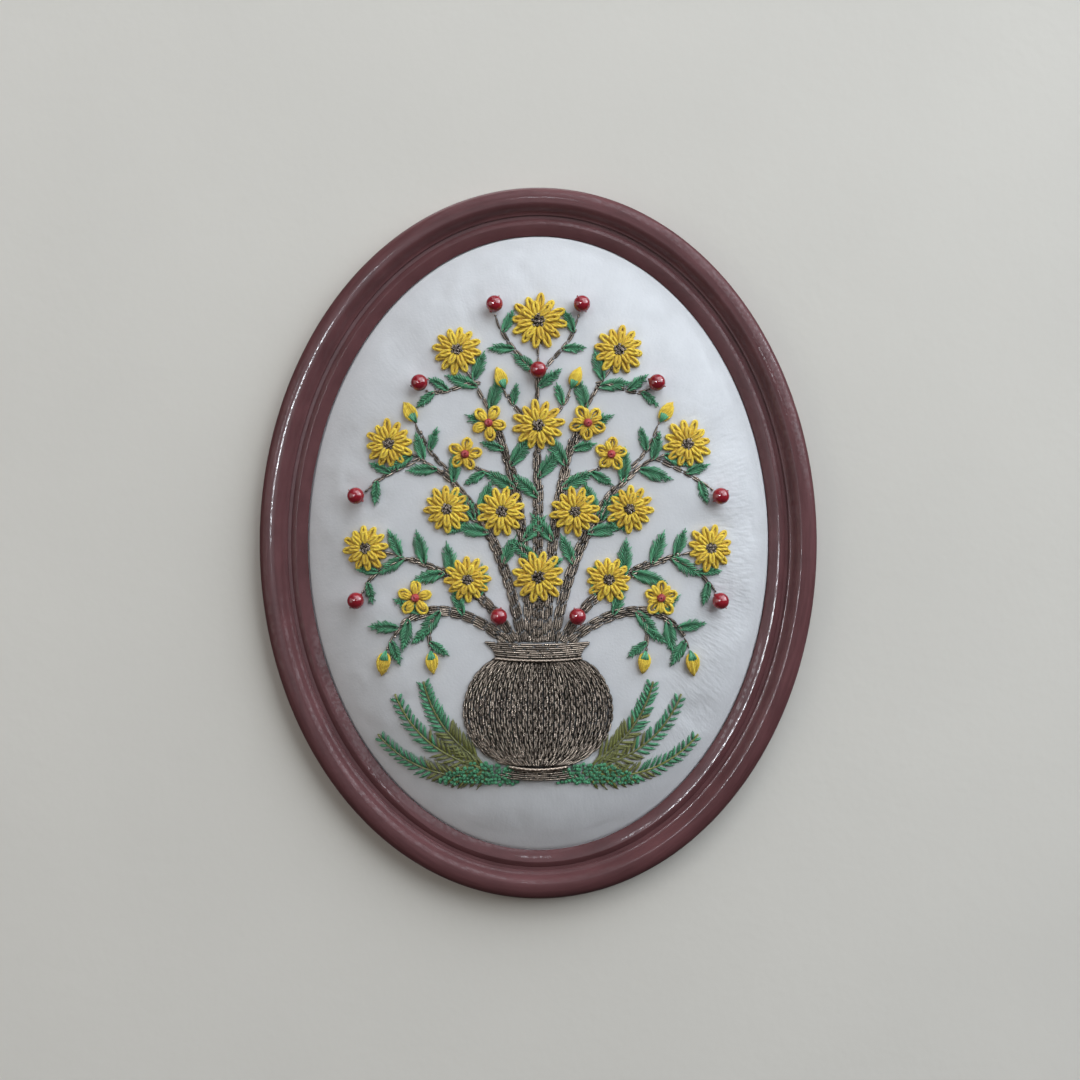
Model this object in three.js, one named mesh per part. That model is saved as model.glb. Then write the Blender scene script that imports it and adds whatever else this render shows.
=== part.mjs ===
// An embroidered wall hanging: white cloth drawn over an oval pad, set in a moulded oval frame.
// Units are millimetres, +Z is up and the front faces -Y. The origin is on the frame's flat back,
// at the top, where the wall holds it.
import * as THREE from "three";

// Frame. Depths run forward from the back face, and reaches run outward from the sight edge.
const OPENING_WIDTH = 180;
const OPENING_HEIGHT = 240;
const MOULDING_WIDTH = 18.75;
const CREST_DEPTH = 10;
const CREST_REACH = 12.55;
const SIDE_DEPTH = 4.8;
const BACK_CHAMFER = 1;
const OGEE_REACH = 9.9;
const OGEE_DEPTH = 8.1;
const OGEE_HOLLOW = { reach: 9.1, depth: 6.9 };
const OGEE_SWELL = { reach: 11.3, depth: 9.9 };
const FILLET_REACH = 7.75;
const FILLET_DEPTH = 6.75;
const GROOVE_DEPTH = 6;
const GROOVE_REACH = 6.4;
const BEAD_MOULD_REACH = 4.35;
const BEAD_MOULD_DEPTH = 7;
const SIGHT_DEPTH = 5.2;
const LIP_BACK_DEPTH = 4.2;
const LIP_EASE = 0.3;
const REBATE_WIDTH = 5.5;
const CREST_FULLNESS = 2.6;
const BEAD_MOULD_FULLNESS = 1.35;
const WALL_POINT_REACH = 9;

// Padded cloth
const SEAT_GAP = 0.35;
const CROWN_RISE = 14.5;
const CROWN_POWER = 5.5;
const CLOTH_BACK_DEPTH = 1;
const CLOTH_EDGE_ROUND = 1.3;
const CROWN_SHARES = [0, 0.2, 0.38, 0.54, 0.67, 0.77, 0.85, 0.91, 0.955, 0.985, 1];

// Shallow places where the cloth is drawn in harder, clockwise from the top.
const PULL_START_SHARE = 0.62;
const PULLS = [
  { turnDegrees: 38, spreadDegrees: 9, depth: 0.45 },
  { turnDegrees: 66, spreadDegrees: 6, depth: 0.6 },
  { turnDegrees: 87, spreadDegrees: 7, depth: 0.7 },
  { turnDegrees: 104, spreadDegrees: 5, depth: 0.55 },
  { turnDegrees: 128, spreadDegrees: 8, depth: 0.5 },
  { turnDegrees: 196, spreadDegrees: 10, depth: 0.3 },
  { turnDegrees: 262, spreadDegrees: 9, depth: 0.35 },
  { turnDegrees: 318, spreadDegrees: 11, depth: 0.3 },
];

// Sewn beads, placed across and up from the middle of the cloth, each turned in its own direction.
const BEAD_RADIUS = 3.25;
const BEAD_BORE_RADIUS = 0.6;
const BEAD_GAP = 0.3;
const BEADS = [
  { across: 0, up: 66, turnDegrees: 8 },
  { across: -16.5, up: 91, turnDegrees: 60 },
  { across: 16.5, up: 91, turnDegrees: 118 },
  { across: -45, up: 61, turnDegrees: 20 },
  { across: 45, up: 61, turnDegrees: 155 },
  { across: -69, up: 18, turnDegrees: 140 },
  { across: 69, up: 18, turnDegrees: 35 },
  { across: -15, up: -28, turnDegrees: 75 },
  { across: 15, up: -28, turnDegrees: 110 },
  { across: -69, up: -22, turnDegrees: 50 },
  { across: 69, up: -22, turnDegrees: 128 },
];

// Fineness
const OVAL_SEGMENTS = 84;
const CURVE_STEPS = 4;
const ROUND_STEPS = 3;
const BEAD_SEGMENTS = 12;
const BEAD_ARC_STEPS = 8;
const SLOPE_STEP = 0.5;

const HALF_WIDTH = OPENING_WIDTH / 2;
const HALF_HEIGHT = OPENING_HEIGHT / 2;
const CENTRE_DROP = HALF_HEIGHT + WALL_POINT_REACH;
const RIM_DEPTH = LIP_BACK_DEPTH - SEAT_GAP;
const RIM_REACH = REBATE_WIDTH - SEAT_GAP;
const SPIN_RADIUS = 100;

const lacquer = new THREE.MeshStandardMaterial({ color: 0x5c3c3a, roughness: 0.35, metalness: 0 });
const whiteCloth = new THREE.MeshStandardMaterial({ color: 0xdfe3ea, roughness: 0.9, metalness: 0 });
const redGlass = new THREE.MeshStandardMaterial({ color: 0x961e28, roughness: 0.1, metalness: 0 });

// A place on the oval. Inside the sight edge a reach shrinks with the oval, outside it keeps its width.
function ovalPlace(turn, reach) {
  const sine = Math.sin(turn);
  const cosine = Math.cos(turn);
  const share = 1 + Math.min(reach, 0) / SPIN_RADIUS;
  const outward = Math.max(reach, 0) / Math.hypot(HALF_HEIGHT * sine, HALF_WIDTH * cosine);
  return {
    across: sine * (HALF_WIDTH * share + HALF_HEIGHT * outward),
    up: cosine * (HALF_HEIGHT * share + HALF_WIDTH * outward),
  };
}

// A section spun round as a circle, then laid on the oval with its depth facing forward.
function ovalGeometry(section, pullAt) {
  const geometry = new THREE.LatheGeometry(section, OVAL_SEGMENTS, Math.PI / OVAL_SEGMENTS);
  const position = geometry.getAttribute("position");
  for (let i = 0; i < position.count; i += 1) {
    const reach = Math.hypot(position.getX(i), position.getZ(i)) - SPIN_RADIUS;
    const turn = Math.atan2(position.getX(i), position.getZ(i));
    const place = ovalPlace(turn, reach);
    const depth = position.getY(i) - pullAt(place.across, place.up);
    position.setXYZ(i, place.across, -depth, place.up);
  }
  geometry.computeVertexNormals();
  return geometry;
}

// How far the drawn-in places lower the front of the cloth.
function clothPull(across, up) {
  const share = Math.hypot(across / HALF_WIDTH, up / HALF_HEIGHT);
  const inBand = (share - PULL_START_SHARE) / (1 - PULL_START_SHARE);
  if (inBand <= 0 || inBand >= 1) {
    return 0;
  }
  const turn = Math.atan2(across / HALF_WIDTH, up / HALF_HEIGHT);
  let pull = 0;
  for (const row of PULLS) {
    const away = turn - THREE.MathUtils.degToRad(row.turnDegrees);
    const nearest = Math.atan2(Math.sin(away), Math.cos(away));
    const spread = nearest / THREE.MathUtils.degToRad(row.spreadDegrees);
    pull += row.depth * Math.exp(-spread * spread);
  }
  return pull * Math.sin(Math.PI * inBand);
}

function crownDepth(across, up) {
  const share = Math.hypot(across / HALF_WIDTH, up / HALF_HEIGHT);
  return RIM_DEPTH + CROWN_RISE * (1 - share ** CROWN_POWER) - clothPull(across, up);
}

// A round-over between two points. A fullness of 2 is a quarter of an ellipse, more is squarer.
function roundOver(section, start, end, fullness, risesFirst) {
  for (let step = 1; step <= CURVE_STEPS; step += 1) {
    const angle = (Math.PI / 2) * (step / CURVE_STEPS);
    const fast = Math.sin(angle) ** (2 / fullness);
    const slow = 1 - Math.max(Math.cos(angle), 0) ** (2 / fullness);
    section.lineTo(
      THREE.MathUtils.lerp(start.x, end.x, risesFirst ? slow : fast),
      THREE.MathUtils.lerp(start.y, end.y, risesFirst ? fast : slow),
    );
  }
}

// The moulding's section, from the rebate round the lip, the small bead, the ogee and the crest.
function mouldingSection() {
  const reachOf = (reach) => SPIN_RADIUS + reach;
  const section = new THREE.Path();
  const sight = new THREE.Vector2(reachOf(0), SIGHT_DEPTH);
  const smallBead = new THREE.Vector2(reachOf(BEAD_MOULD_REACH), BEAD_MOULD_DEPTH);
  const groove = new THREE.Vector2(reachOf(GROOVE_REACH), GROOVE_DEPTH);
  const crest = new THREE.Vector2(reachOf(CREST_REACH), CREST_DEPTH);
  const side = new THREE.Vector2(reachOf(MOULDING_WIDTH), SIDE_DEPTH);
  section.moveTo(reachOf(REBATE_WIDTH), 0);
  section.lineTo(reachOf(REBATE_WIDTH), LIP_BACK_DEPTH);
  section.lineTo(reachOf(LIP_EASE), LIP_BACK_DEPTH);
  section.lineTo(reachOf(0), LIP_BACK_DEPTH + LIP_EASE);
  section.lineTo(sight.x, sight.y);
  roundOver(section, sight, smallBead, BEAD_MOULD_FULLNESS, true);
  roundOver(section, smallBead, groove, BEAD_MOULD_FULLNESS, false);
  section.lineTo(reachOf(FILLET_REACH), GROOVE_DEPTH);
  section.lineTo(reachOf(FILLET_REACH), FILLET_DEPTH);
  section.quadraticCurveTo(
    reachOf(OGEE_HOLLOW.reach), OGEE_HOLLOW.depth,
    reachOf(OGEE_REACH), OGEE_DEPTH,
  );
  section.quadraticCurveTo(reachOf(OGEE_SWELL.reach), OGEE_SWELL.depth, crest.x, crest.y);
  roundOver(section, crest, side, CREST_FULLNESS, false);
  section.lineTo(reachOf(MOULDING_WIDTH), BACK_CHAMFER);
  section.lineTo(reachOf(MOULDING_WIDTH - BACK_CHAMFER), 0);
  section.lineTo(reachOf(REBATE_WIDTH), 0);
  return section.getPoints(CURVE_STEPS);
}

// The pad's section: its crown, the rim under the frame's lip, the rounded edge and the flat back.
function clothSection() {
  const points = CROWN_SHARES.map(
    (share) => new THREE.Vector2(SPIN_RADIUS * share, RIM_DEPTH + CROWN_RISE * (1 - share ** CROWN_POWER)),
  );
  const roundReach = SPIN_RADIUS + RIM_REACH - CLOTH_EDGE_ROUND;
  const corners = [
    { depth: RIM_DEPTH - CLOTH_EDGE_ROUND, start: Math.PI / 2 },
    { depth: CLOTH_BACK_DEPTH + CLOTH_EDGE_ROUND, start: 0 },
  ];
  for (const corner of corners) {
    for (let step = 0; step <= ROUND_STEPS; step += 1) {
      const angle = corner.start - (Math.PI / 2) * (step / ROUND_STEPS);
      points.push(new THREE.Vector2(
        roundReach + CLOTH_EDGE_ROUND * Math.cos(angle),
        corner.depth + CLOTH_EDGE_ROUND * Math.sin(angle),
      ));
    }
  }
  points.push(new THREE.Vector2(0, CLOTH_BACK_DEPTH));
  return points;
}

// A round bead with a straight bore along its own Y axis.
function beadGeometry() {
  const mouth = Math.acos(BEAD_BORE_RADIUS / BEAD_RADIUS);
  const round = new THREE.EllipseCurve(0, 0, BEAD_RADIUS, BEAD_RADIUS, -mouth, mouth);
  const section = round.getPoints(BEAD_ARC_STEPS);
  section.push(section[0].clone());
  return new THREE.LatheGeometry(section, BEAD_SEGMENTS);
}

// The outward direction of the crown, from its slope across a short step.
function crownNormal(across, up) {
  const riseAcross = crownDepth(across + SLOPE_STEP, up) - crownDepth(across - SLOPE_STEP, up);
  const riseUp = crownDepth(across, up + SLOPE_STEP) - crownDepth(across, up - SLOPE_STEP);
  return new THREE.Vector3(-riseAcross, -2 * SLOPE_STEP, -riseUp).normalize();
}

function sewnBead(row, index) {
  const bead = new THREE.Mesh(beadGeometry(), redGlass);
  bead.name = `bead_${String(index + 1).padStart(2, "0")}`;
  const normal = crownNormal(row.across, row.up);
  bead.position.set(row.across, -crownDepth(row.across, row.up), row.up);
  bead.position.addScaledVector(normal, BEAD_RADIUS + BEAD_GAP);
  const turn = THREE.MathUtils.degToRad(row.turnDegrees);
  const boreAxis = new THREE.Vector3(Math.cos(turn), 0, Math.sin(turn));
  boreAxis.addScaledVector(normal, -boreAxis.dot(normal)).normalize();
  bead.quaternion.setFromUnitVectors(new THREE.Vector3(0, 1, 0), boreAxis);
  return bead;
}

const frame = new THREE.Mesh(ovalGeometry(mouldingSection(), () => 0), lacquer);
frame.name = "frame";
const paddedCloth = new THREE.Mesh(ovalGeometry(clothSection(), clothPull), whiteCloth);
paddedCloth.name = "padded_cloth";

const picture = new THREE.Group();
picture.position.set(0, 0, -CENTRE_DROP);
picture.add(frame, paddedCloth, ...BEADS.map(sewnBead));

const hanging = new THREE.Group();
hanging.add(picture);

export default hanging;
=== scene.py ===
"""An oval framed embroidery: padded white cloth, raised stitches, beads and a moulded frame."""

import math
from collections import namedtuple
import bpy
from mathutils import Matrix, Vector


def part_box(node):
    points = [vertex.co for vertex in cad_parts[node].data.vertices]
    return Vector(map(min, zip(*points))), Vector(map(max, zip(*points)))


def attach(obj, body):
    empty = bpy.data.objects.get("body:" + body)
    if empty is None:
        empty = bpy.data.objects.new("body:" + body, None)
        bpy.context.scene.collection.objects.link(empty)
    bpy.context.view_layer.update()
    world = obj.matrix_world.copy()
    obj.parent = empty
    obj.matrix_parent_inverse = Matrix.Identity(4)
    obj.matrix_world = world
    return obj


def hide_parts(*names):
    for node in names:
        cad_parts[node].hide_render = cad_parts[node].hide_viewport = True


bl_info = {
    "name": "Framed Flower Embroidery",
    "version": (1, 0, 0),
    "blender": (4, 5, 0),
    "location": "View3D > Sidebar > Embroidery",
    "description": "Builds an oval frame, its padded cloth, and the raised stitches and beads on it",
    "category": "Object",
}

import bpy
import numpy as np
from bpy.props import FloatProperty, FloatVectorProperty, PointerProperty
from mathutils import Euler, Vector

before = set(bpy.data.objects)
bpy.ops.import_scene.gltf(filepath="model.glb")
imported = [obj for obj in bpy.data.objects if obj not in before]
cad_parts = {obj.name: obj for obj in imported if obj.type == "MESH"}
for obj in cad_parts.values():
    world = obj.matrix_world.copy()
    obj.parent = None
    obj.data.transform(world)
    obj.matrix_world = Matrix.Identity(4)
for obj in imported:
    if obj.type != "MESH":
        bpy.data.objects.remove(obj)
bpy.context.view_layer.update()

# The frame's box gives the oval; all sizes below are in millimetres unless a name says otherwise
MM = 0.001
BODY = "root"
FRAME_LOW, FRAME_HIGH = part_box("frame")
CLOTH_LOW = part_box("padded_cloth")[0]
CENTRE = (FRAME_LOW + FRAME_HIGH) / 2
OVAL_ORIGIN = np.array((CENTRE.x, 0.0, CENTRE.z))
BEAD_NODES = sorted(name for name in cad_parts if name.startswith("bead_"))

# The moulding: reach is outward from the sight edge, depth is forward from the back
MOULDING_WIDTH = 18.75
HALF_WIDTH = (FRAME_HIGH.x - FRAME_LOW.x) / 2 / MM - MOULDING_WIDTH
HALF_HEIGHT = (FRAME_HIGH.z - FRAME_LOW.z) / 2 / MM - MOULDING_WIDTH
CREST_DEPTH = -FRAME_LOW.y / MM
CREST_REACH = 12.55
SIDE_DEPTH = 4.8
BACK_CHAMFER = 1.0
OGEE_REACH = 9.9
OGEE_DEPTH = 8.1
OGEE_HOLLOW = (9.1, 6.9)
OGEE_SWELL = (11.3, 9.9)
FILLET_REACH = 7.75
FILLET_DEPTH = 6.75
GROOVE_REACH = 6.4
GROOVE_DEPTH = 6.0
BEADING_REACH = 4.35
BEADING_DEPTH = 7.0
SIGHT_DEPTH = 5.2
LIP_BACK_DEPTH = 4.2
LIP_EASE = 0.3
REBATE_WIDTH = 5.5
CREST_FULLNESS = 2.6
BEADING_FULLNESS = 1.2
ARRIS = 0.3
ARC_STEPS = 10
OVAL_STEPS = 88
FRAME_CREASE = math.radians(32)
HAND_WAVER = 0.035
WAVER_COUNTS = (3, 7, 13, 29, 47)
GRAIN_ROUND = 9
GRAIN_ACROSS = 60
GRAIN_DEEP = 0.9

# The padded cloth: its crown, its roll near the rim, and how far its slack band may settle
SEAT_GAP = 0.35
RIM_DEPTH = LIP_BACK_DEPTH - SEAT_GAP
RIM_REACH = REBATE_WIDTH - SEAT_GAP
CROWN_RISE = -CLOTH_LOW.y / MM - RIM_DEPTH
CROWN_POWER = 5.5
RIM_ROLL = 2.4
RIM_ROLL_START = 0.3
RIM_ROLL_FADE = 3.5
RIM_ROLL_TURN = 45
RIM_ROLL_SPREAD = 75
RIM_ROLL_LEAST = 0.15
RIM_ROUND = 1.3
RIM_STEPS = 3
CLOTH_BACK_DEPTH = 1.0
MARGIN_WIDTH = 12.5
MARGIN_THICKNESS = 0.45
MARGIN_EDGE = 0.4
PULL_START_SHARE = 0.62
CLOTH_SEGMENTS = 192
CROWN_RINGS = 52
MARGIN_RINGS = (CROWN_RINGS + 11, CROWN_RINGS + 12)
SEAM_TURN = 3.1
SLOPE_STEP = 0.25
FOOT_TRIES = 8
SLACK_START_SHARE = 0.6
SLACK = 0.02
PAD_PRESSURE = 4.0
SETTLE_STEPS = 20
SETTLE_CAP = 0.35
SETTLE_RISE = 0.12
SLACK_EASE = 0.12

# Fine ripples: the shares where they begin and end with their fades, and where they are strongest
PUCKER_BEGIN = 0.66
PUCKER_BEGIN_FADE = 0.12
PUCKER_END = 0.985
PUCKER_END_FADE = 0.08
PUCKER_LEAST = 0.22
PUCKER_TURN = 92
PUCKER_SPREAD = 42
RIPPLE_SCALE = (380.0, 22.0, 1.0)

# Gathers of the margin behind: height, count round the oval, and start
GATHERS = ((0.12, 61, 0), (0.08, 23, 1))

Pull = namedtuple("Pull", "turn spread depth")
PULLS = (
    Pull(38, 9, 0.45),
    Pull(66, 6, 0.6),
    Pull(87, 7, 0.7),
    Pull(104, 5, 0.55),
    Pull(128, 8, 0.5),
    Pull(196, 10, 0.3),
    Pull(262, 9, 0.35),
    Pull(318, 11, 0.3),
)

BEAD_RADIUS = 3.25
BEAD_BORE_RADIUS = 0.6
BEAD_TURNS = (8, 60, 118, 20, 155, 140, 35, 75, 110, 50, 128)
BEAD_SEGMENTS = 40
BEAD_RINGS = 28
BEAD_CREASE = math.radians(50)
BEAD_THREAD_RADIUS = 0.24

# The flower design: vase, stems, twigs, ferns and flowers, in millimetres from the oval's centre
# The vase's half outline is three curves of (half width, height): foot, body and lip
VASE_FOOT = ((15.5, -90), (15.5, -88), (11.5, -88), (11, -85.5))
VASE_BODY = ((11, -85.5), (36, -79), (33, -51), (16.5, -44))
VASE_LIP = ((16.5, -44), (16.5, -41.5), (18, -40), (21, -37.5))
VASE_COLUMNS = 56
VASE_STITCH = 3.8

# A leaf row is its share along the stem, its side of the stem, and its length
Stem = namedtuple("Stem", "route twin leaves")
STEMS = (
    Stem(((0, -38), (0, -10), (0, 30), (0, 80)), False,
         ((0.33, 1, 12), (0.54, 1, 13), (0.6, -1, 13), (0.27, -1, 12), (0.86, -1, 11), (0.9, 1, 11))),
    Stem(((3, -38), (5, 4), (8, 42), (29, 68)), True,
         ((0.32, 1, 13), (0.5, -1, 13), (0.58, 1, 13), (0.72, -1, 13), (0.8, 1, 12), (0.9, -1, 12),
          (0.93, 1, 11))),
    Stem(((6, -38), (12, -2), (26, 26), (51, 35)), True,
         ((0.3, 1, 12), (0.44, -1, 13), (0.52, 1, 13), (0.62, -1, 13), (0.72, 1, 12), (0.82, -1, 12),
          (0.9, 1, 11), (0.96, -1, 11))),
    Stem(((9, -38), (22, -13), (42, -8), (60, -3)), True,
         ((0.3, 1, 12), (0.5, 1, 13), (0.56, -1, 13), (0.7, 1, 13), (0.84, -1, 12), (0.86, 1, 11))),
    Stem(((12, -38), (30, -21), (52, -22), (58, -41)), True,
         ((0.3, 1, 11), (0.46, -1, 12), (0.6, 1, 12), (0.72, -1, 12), (0.82, 1, 11), (0.93, -1, 10))),
)
TWIGS = (
    Stem(((0, 62), (4, 72), (13, 74), (16, 88)), True, ((0.55, -1, 9), (0.8, 1, 9))),
    Stem(((22, 61), (28, 63), (36, 55), (43, 59)), True, ((0.6, 1, 9), (0.85, -1, 8))),
    Stem(((33, 27), (40, 32), (44, 38), (47, 47)), True, ((0.5, 1, 9),)),
    Stem(((44, 33), (54, 28), (60, 26), (67, 20)), True, ((0.5, 1, 9), (0.75, -1, 9))),
    Stem(((50, -6), (58, -7), (64, -12), (68, -19)), True, ((0.55, 1, 9), (0.8, -1, 8))),
    Stem(((40, -28), (42, -32), (42, -36), (41, -42)), True, ((0.4, 1, 9), (0.75, -1, 9))),
    Stem(((9, 27), (12, 34), (14, 38), (18, 44)), True, ((0.5, -1, 9),)),
    Stem(((1.5, 40), (6, 52), (11, 52), (13, 60)), True, ((0.6, 1, 8),)),
    Stem(((9, 24), (16, 27), (22, 26), (26, 31)), True, ((0.6, -1, 9),)),
    Stem(((18, 5), (24, 10), (28, 9), (33, 12)), True, ((0.4, 1, 9), (0.6, -1, 9))),
)
FERNS = (
    ((17, -88), (34, -92), (50, -88), (62, -74)),
    ((18, -87), (34, -84), (48, -76), (55, -58)),
    ((22, -84), (34, -76), (41, -66), (44, -53)),
)
Flower = namedtuple("Flower", "across up radius")
DAISIES = (
    Flower(0, 85, 10.5),
    Flower(31, 74, 9),
    Flower(57, 38, 9),
    Flower(66, -2, 8.5),
    Flower(0, 45, 9.5),
    Flower(35, 13, 8.5),
    Flower(14, 12, 9),
    Flower(0, -13, 10),
    Flower(27, -14, 8.5),
)
BLOSSOMS = (
    Flower(19, 46, 6.5),
    Flower(47, -21, 6.5),
    Flower(28, 34, 6),
)
Bud = namedtuple("Bud", "across up heading length")
BUDS = (
    Bud(58.5, -42, -1.4, 9),
    Bud(13, 60, 1.2, 8),
    Bud(47, 47, 1.0, 8.5),
    Bud(41, -42, -1.7, 8),
)

# The daylight of the stage is a little cool, and its fill a little warm
COOL_LIGHT = (0.865, 0.935, 1.0)
WARM_LIGHT = (1.0, 0.945, 0.89)
PLAIN_LIGHT = (1, 1, 1)
ROOM_COLOUR = (1.0, 0.93, 0.86, 1)
ROOM_STRENGTH = 0.06
WALL_GAP = 0.0006
FLOOR_DROP = 0.26
PLANE_SIZE = 6
SENSOR_WIDTH = 36
CAMERA_ASIDE = 0.0007
CAMERA_ABOVE = 0.0012

# Bright openings in front of the frame that only its gloss shows, in metres from the oval's centre
Glint = namedtuple("Glint", "name away size share")
GLINTS = (
    Glint("low pane", (-0.58, -1.6, 0.07), 0.13, 0.36),
    Glint("middle pane", (-0.52, -1.6, 0.19), 0.13, 0.46),
    Glint("upper pane", (-0.42, -1.6, 0.3), 0.13, 0.36),
    Glint("left window", (-1.1, -1.6, 0.38), 0.3, 0.2),
    Glint("high pane", (-0.42, -1.6, 0.55), 0.12, 0.1),
    Glint("fanlight", (0.02, -1.6, 0.85), 0.16, 0.1),
    Glint("far lamp", (0.5, -1.6, 0.31), 0.1, 0.05),
    Glint("right window", (1.384, -0.581, 0.8), 0.9, 0.5),
    Glint("side window", (1.39, -0.25, 0.8), 0.2, 0.15),
)

# Stitch habits, in millimetres or in shares of a thread's, leaf's or flower's size
PLY_DEPTH = 0.13
TONE_SPREAD = 1.1
METAL_TONE_SPREAD = 0.85
STITCH_TAPER = 0.35
CURVE_POINTS = 40
ROUTE_POINTS = 60
KNOT_COIL = 0.29
KNOT_CLOSING = 0.75
KNOT_FOOT = 0.12
KNOT_RISE = 0.36
KNOT_THREAD = 0.22
ROW_PITCH = 1.75
STEM_STITCH = 4.6
LENGTH_SWELL = np.array((0.4, 0.85, 1, 1, 1, 0.85, 0.4))
LENGTH_SINK = np.array((0.5, 0.2, 0.05, 0, 0.05, 0.2, 0.5))
LENGTH_GAP = 0.25
VASE_BULGE = 1.3
VASE_SINK = 1.2
BAND_LENGTH = 9.0
BAND_GAP = 0.2
BAND_SAG = 0.9
CORD_RADIUS = 0.85
CORD_PITCH = 3.4
CORD_PAST = 0.4
LEAF_WIDTH_SHARE = 0.4
LEAF_SPREAD = 0.85
LEAF_ROW = 1.05
LEAF_PADDING = np.array((-0.27, -0.13, 0, 0.13, 0.27))
LEAF_PADDING_ENDS = np.array((0.8, 0.92, 1.0, 0.92, 0.8))
FERN_LEAFLETS = 19
FERN_START = 0.04
FERN_RUN = 0.95
FERN_SPREAD = 0.75
FERN_OLIVE_SHARE = 0.45
LEAFLET_LENGTH = 8.6
LEAFLET_TAPER = 5.184
LEAFLET_ENDS = np.array((0.86, 1.0, 0.84))
LEAFLET_SLIDE = np.array((-0.55, 0, 0.55))
LEAFLET_LIFT = np.array((0.4, 0.65, 0.4))
YARN_PITCH = 3.6
DAISY_PETALS = 12
DAISY_INNER_PETALS = 8
BLOSSOM_PETALS = 5
LOOP_POINTS = 29
CENTRE_KNOTS = 13
SPIRAL_STEP = math.radians(137.5)
BUD_POINTS = 19
BUD_LEANS = (-0.5, -0.28, -0.09, 0.1, 0.3, 0.5)
CUP_LEANS = np.array((-0.42, -0.14, 0.14, 0.42))
MOSS_STEP = 1.35
MOSS_ACROSS = (8, 39)
MOSS_UP = (-92, -82)
MOSS_MIDDLE = 20
MOSS_FLOOR = -92.3
MOSS_RISE = 8

# Rows of metal thread side by side: offset in rows, and the share of the route where the row ends
STEM_ROWS = ((-2, 0.58), (2, 0.68), (-1, 0.8), (1, 0.9), (0, 1.0))
TWIG_ROWS = ((-0.5, 0.85), (0.5, 1.0))


def colour_setting(name, description, colour):
    return FloatVectorProperty(
        name=name, description=description, subtype="COLOR", default=colour, min=0, max=1)


def length_setting(name, description, length, least, most):
    return FloatProperty(
        name=name, description=description, subtype="DISTANCE", unit="LENGTH",
        default=length, min=least, max=most)


def power_setting(name, description, power):
    return FloatProperty(name=name, description=description, unit="POWER", default=power, min=0)


class FrameSettings(bpy.types.PropertyGroup):
    """Finish of the moulded frame"""

    stain: colour_setting("Stain", "Colour of the lacquered wood", (0.165, 0.064, 0.068))
    dark_stain: colour_setting("Dark Stain", "Colour of the wood's darker grain", (0.098, 0.038, 0.04))


class ClothSettings(bpy.types.PropertyGroup):
    """Finish of the padded cloth"""

    colour: colour_setting("Cloth", "Colour of the cloth", (0.68, 0.68, 0.695))
    crepe_height: length_setting(
        "Crepe Height", "Height of the cloth's fine crinkle", 0.00007, 0, 0.001)
    pucker_height: length_setting(
        "Pucker Height", "Height of the ripples near the rim", 0.00026, 0, 0.002)


class ThreadSettings(bpy.types.PropertyGroup):
    """Thicknesses and colours of the threads"""

    yarn_radius: length_setting("Yarn Radius", "Radius of the yellow yarn", 0.00062, 0.0003, 0.0015)
    floss_radius: length_setting("Floss Radius", "Half a floss stitch's width", 0.00029, 0.0002, 0.0015)
    metal_radius: length_setting("Metal Radius", "Radius of the metal thread", 0.00045, 0.0002, 0.0015)
    yellow: colour_setting("Yellow", "Light colour of the yarn", (0.92, 0.68, 0.045))
    amber: colour_setting("Amber", "Shaded colour of the yarn", (0.68, 0.42, 0.016))
    green: colour_setting("Green", "Light colour of the leaves", (0.125, 0.56, 0.27))
    dark_green: colour_setting("Dark Green", "Shaded colour of the leaves", (0.018, 0.15, 0.058))
    olive: colour_setting("Olive", "Light colour of the ferns' lower leaflets", (0.29, 0.31, 0.055))
    dark_olive: colour_setting("Dark Olive", "Shaded colour of those leaflets", (0.12, 0.125, 0.024))
    red: colour_setting("Red", "Light colour of the red knots", (0.58, 0.026, 0.03))
    dark_red: colour_setting("Dark Red", "Shaded colour of the red knots", (0.28, 0.01, 0.014))
    bronze: colour_setting("Bronze", "Light colour of the metal thread", (0.53, 0.43, 0.35))
    # The metal's dark end: tarnish where threads differ at random in tone, and painted shade on their
    # undersides and in their grooves
    tarnish_and_shade_bronze: colour_setting(
        "Dark Bronze", "Tarnished colour of the metal thread", (0.012, 0.009, 0.008))
    bead: colour_setting("Bead", "Colour of the glass beads", (0.36, 0.018, 0.032))


class StageSettings(bpy.types.PropertyGroup):
    """Wall, floor, light and camera"""

    wall: colour_setting("Wall", "Colour of the wall and floor", (0.74, 0.703, 0.641))
    key_power: power_setting("Key Light", "Power of the soft light from the upper right", 81)
    ceiling_power: power_setting("Ceiling Light", "Power of the soft light from above", 14)
    fill_power: power_setting("Left Fill", "Power of the soft fill from the left", 10.5)
    glint_power: power_setting("Glint", "Power of the lights that only the gloss shows", 15.0)
    rear_power: power_setting("Rear Fill", "Power of the light above and behind", 10)
    camera_distance: length_setting("Camera Distance", "From the frame's middle plane", 0.70, 0.2, 3)
    view_width: length_setting("View Width", "Width of the view at that plane", 0.4217, 0.1, 3)


def oval_place(turn, share=1.0, reach=0.0):
    """Places on the oval: turn is clockwise from the top, reach goes outward, share scales both."""
    across = HALF_WIDTH * np.sin(turn)
    up = HALF_HEIGHT * np.cos(turn)
    out_across = HALF_HEIGHT * np.sin(turn)
    out_up = HALF_WIDTH * np.cos(turn)
    size = np.hypot(out_across, out_up)
    return share * (across + reach * out_across / size), share * (up + reach * out_up / size)


def oval_share(across, up):
    """How far out a place lies on the cloth: 0 at the centre, 1 on the sight edge."""
    return np.hypot(across / HALF_WIDTH, up / HALF_HEIGHT)


def oval_turn(across, up):
    """Degrees clockwise from the top."""
    return np.degrees(np.arctan2(across / HALF_WIDTH, up / HALF_HEIGHT))


def degrees_apart(turn, other):
    return np.abs((turn - other + 180) % 360 - 180)


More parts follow.
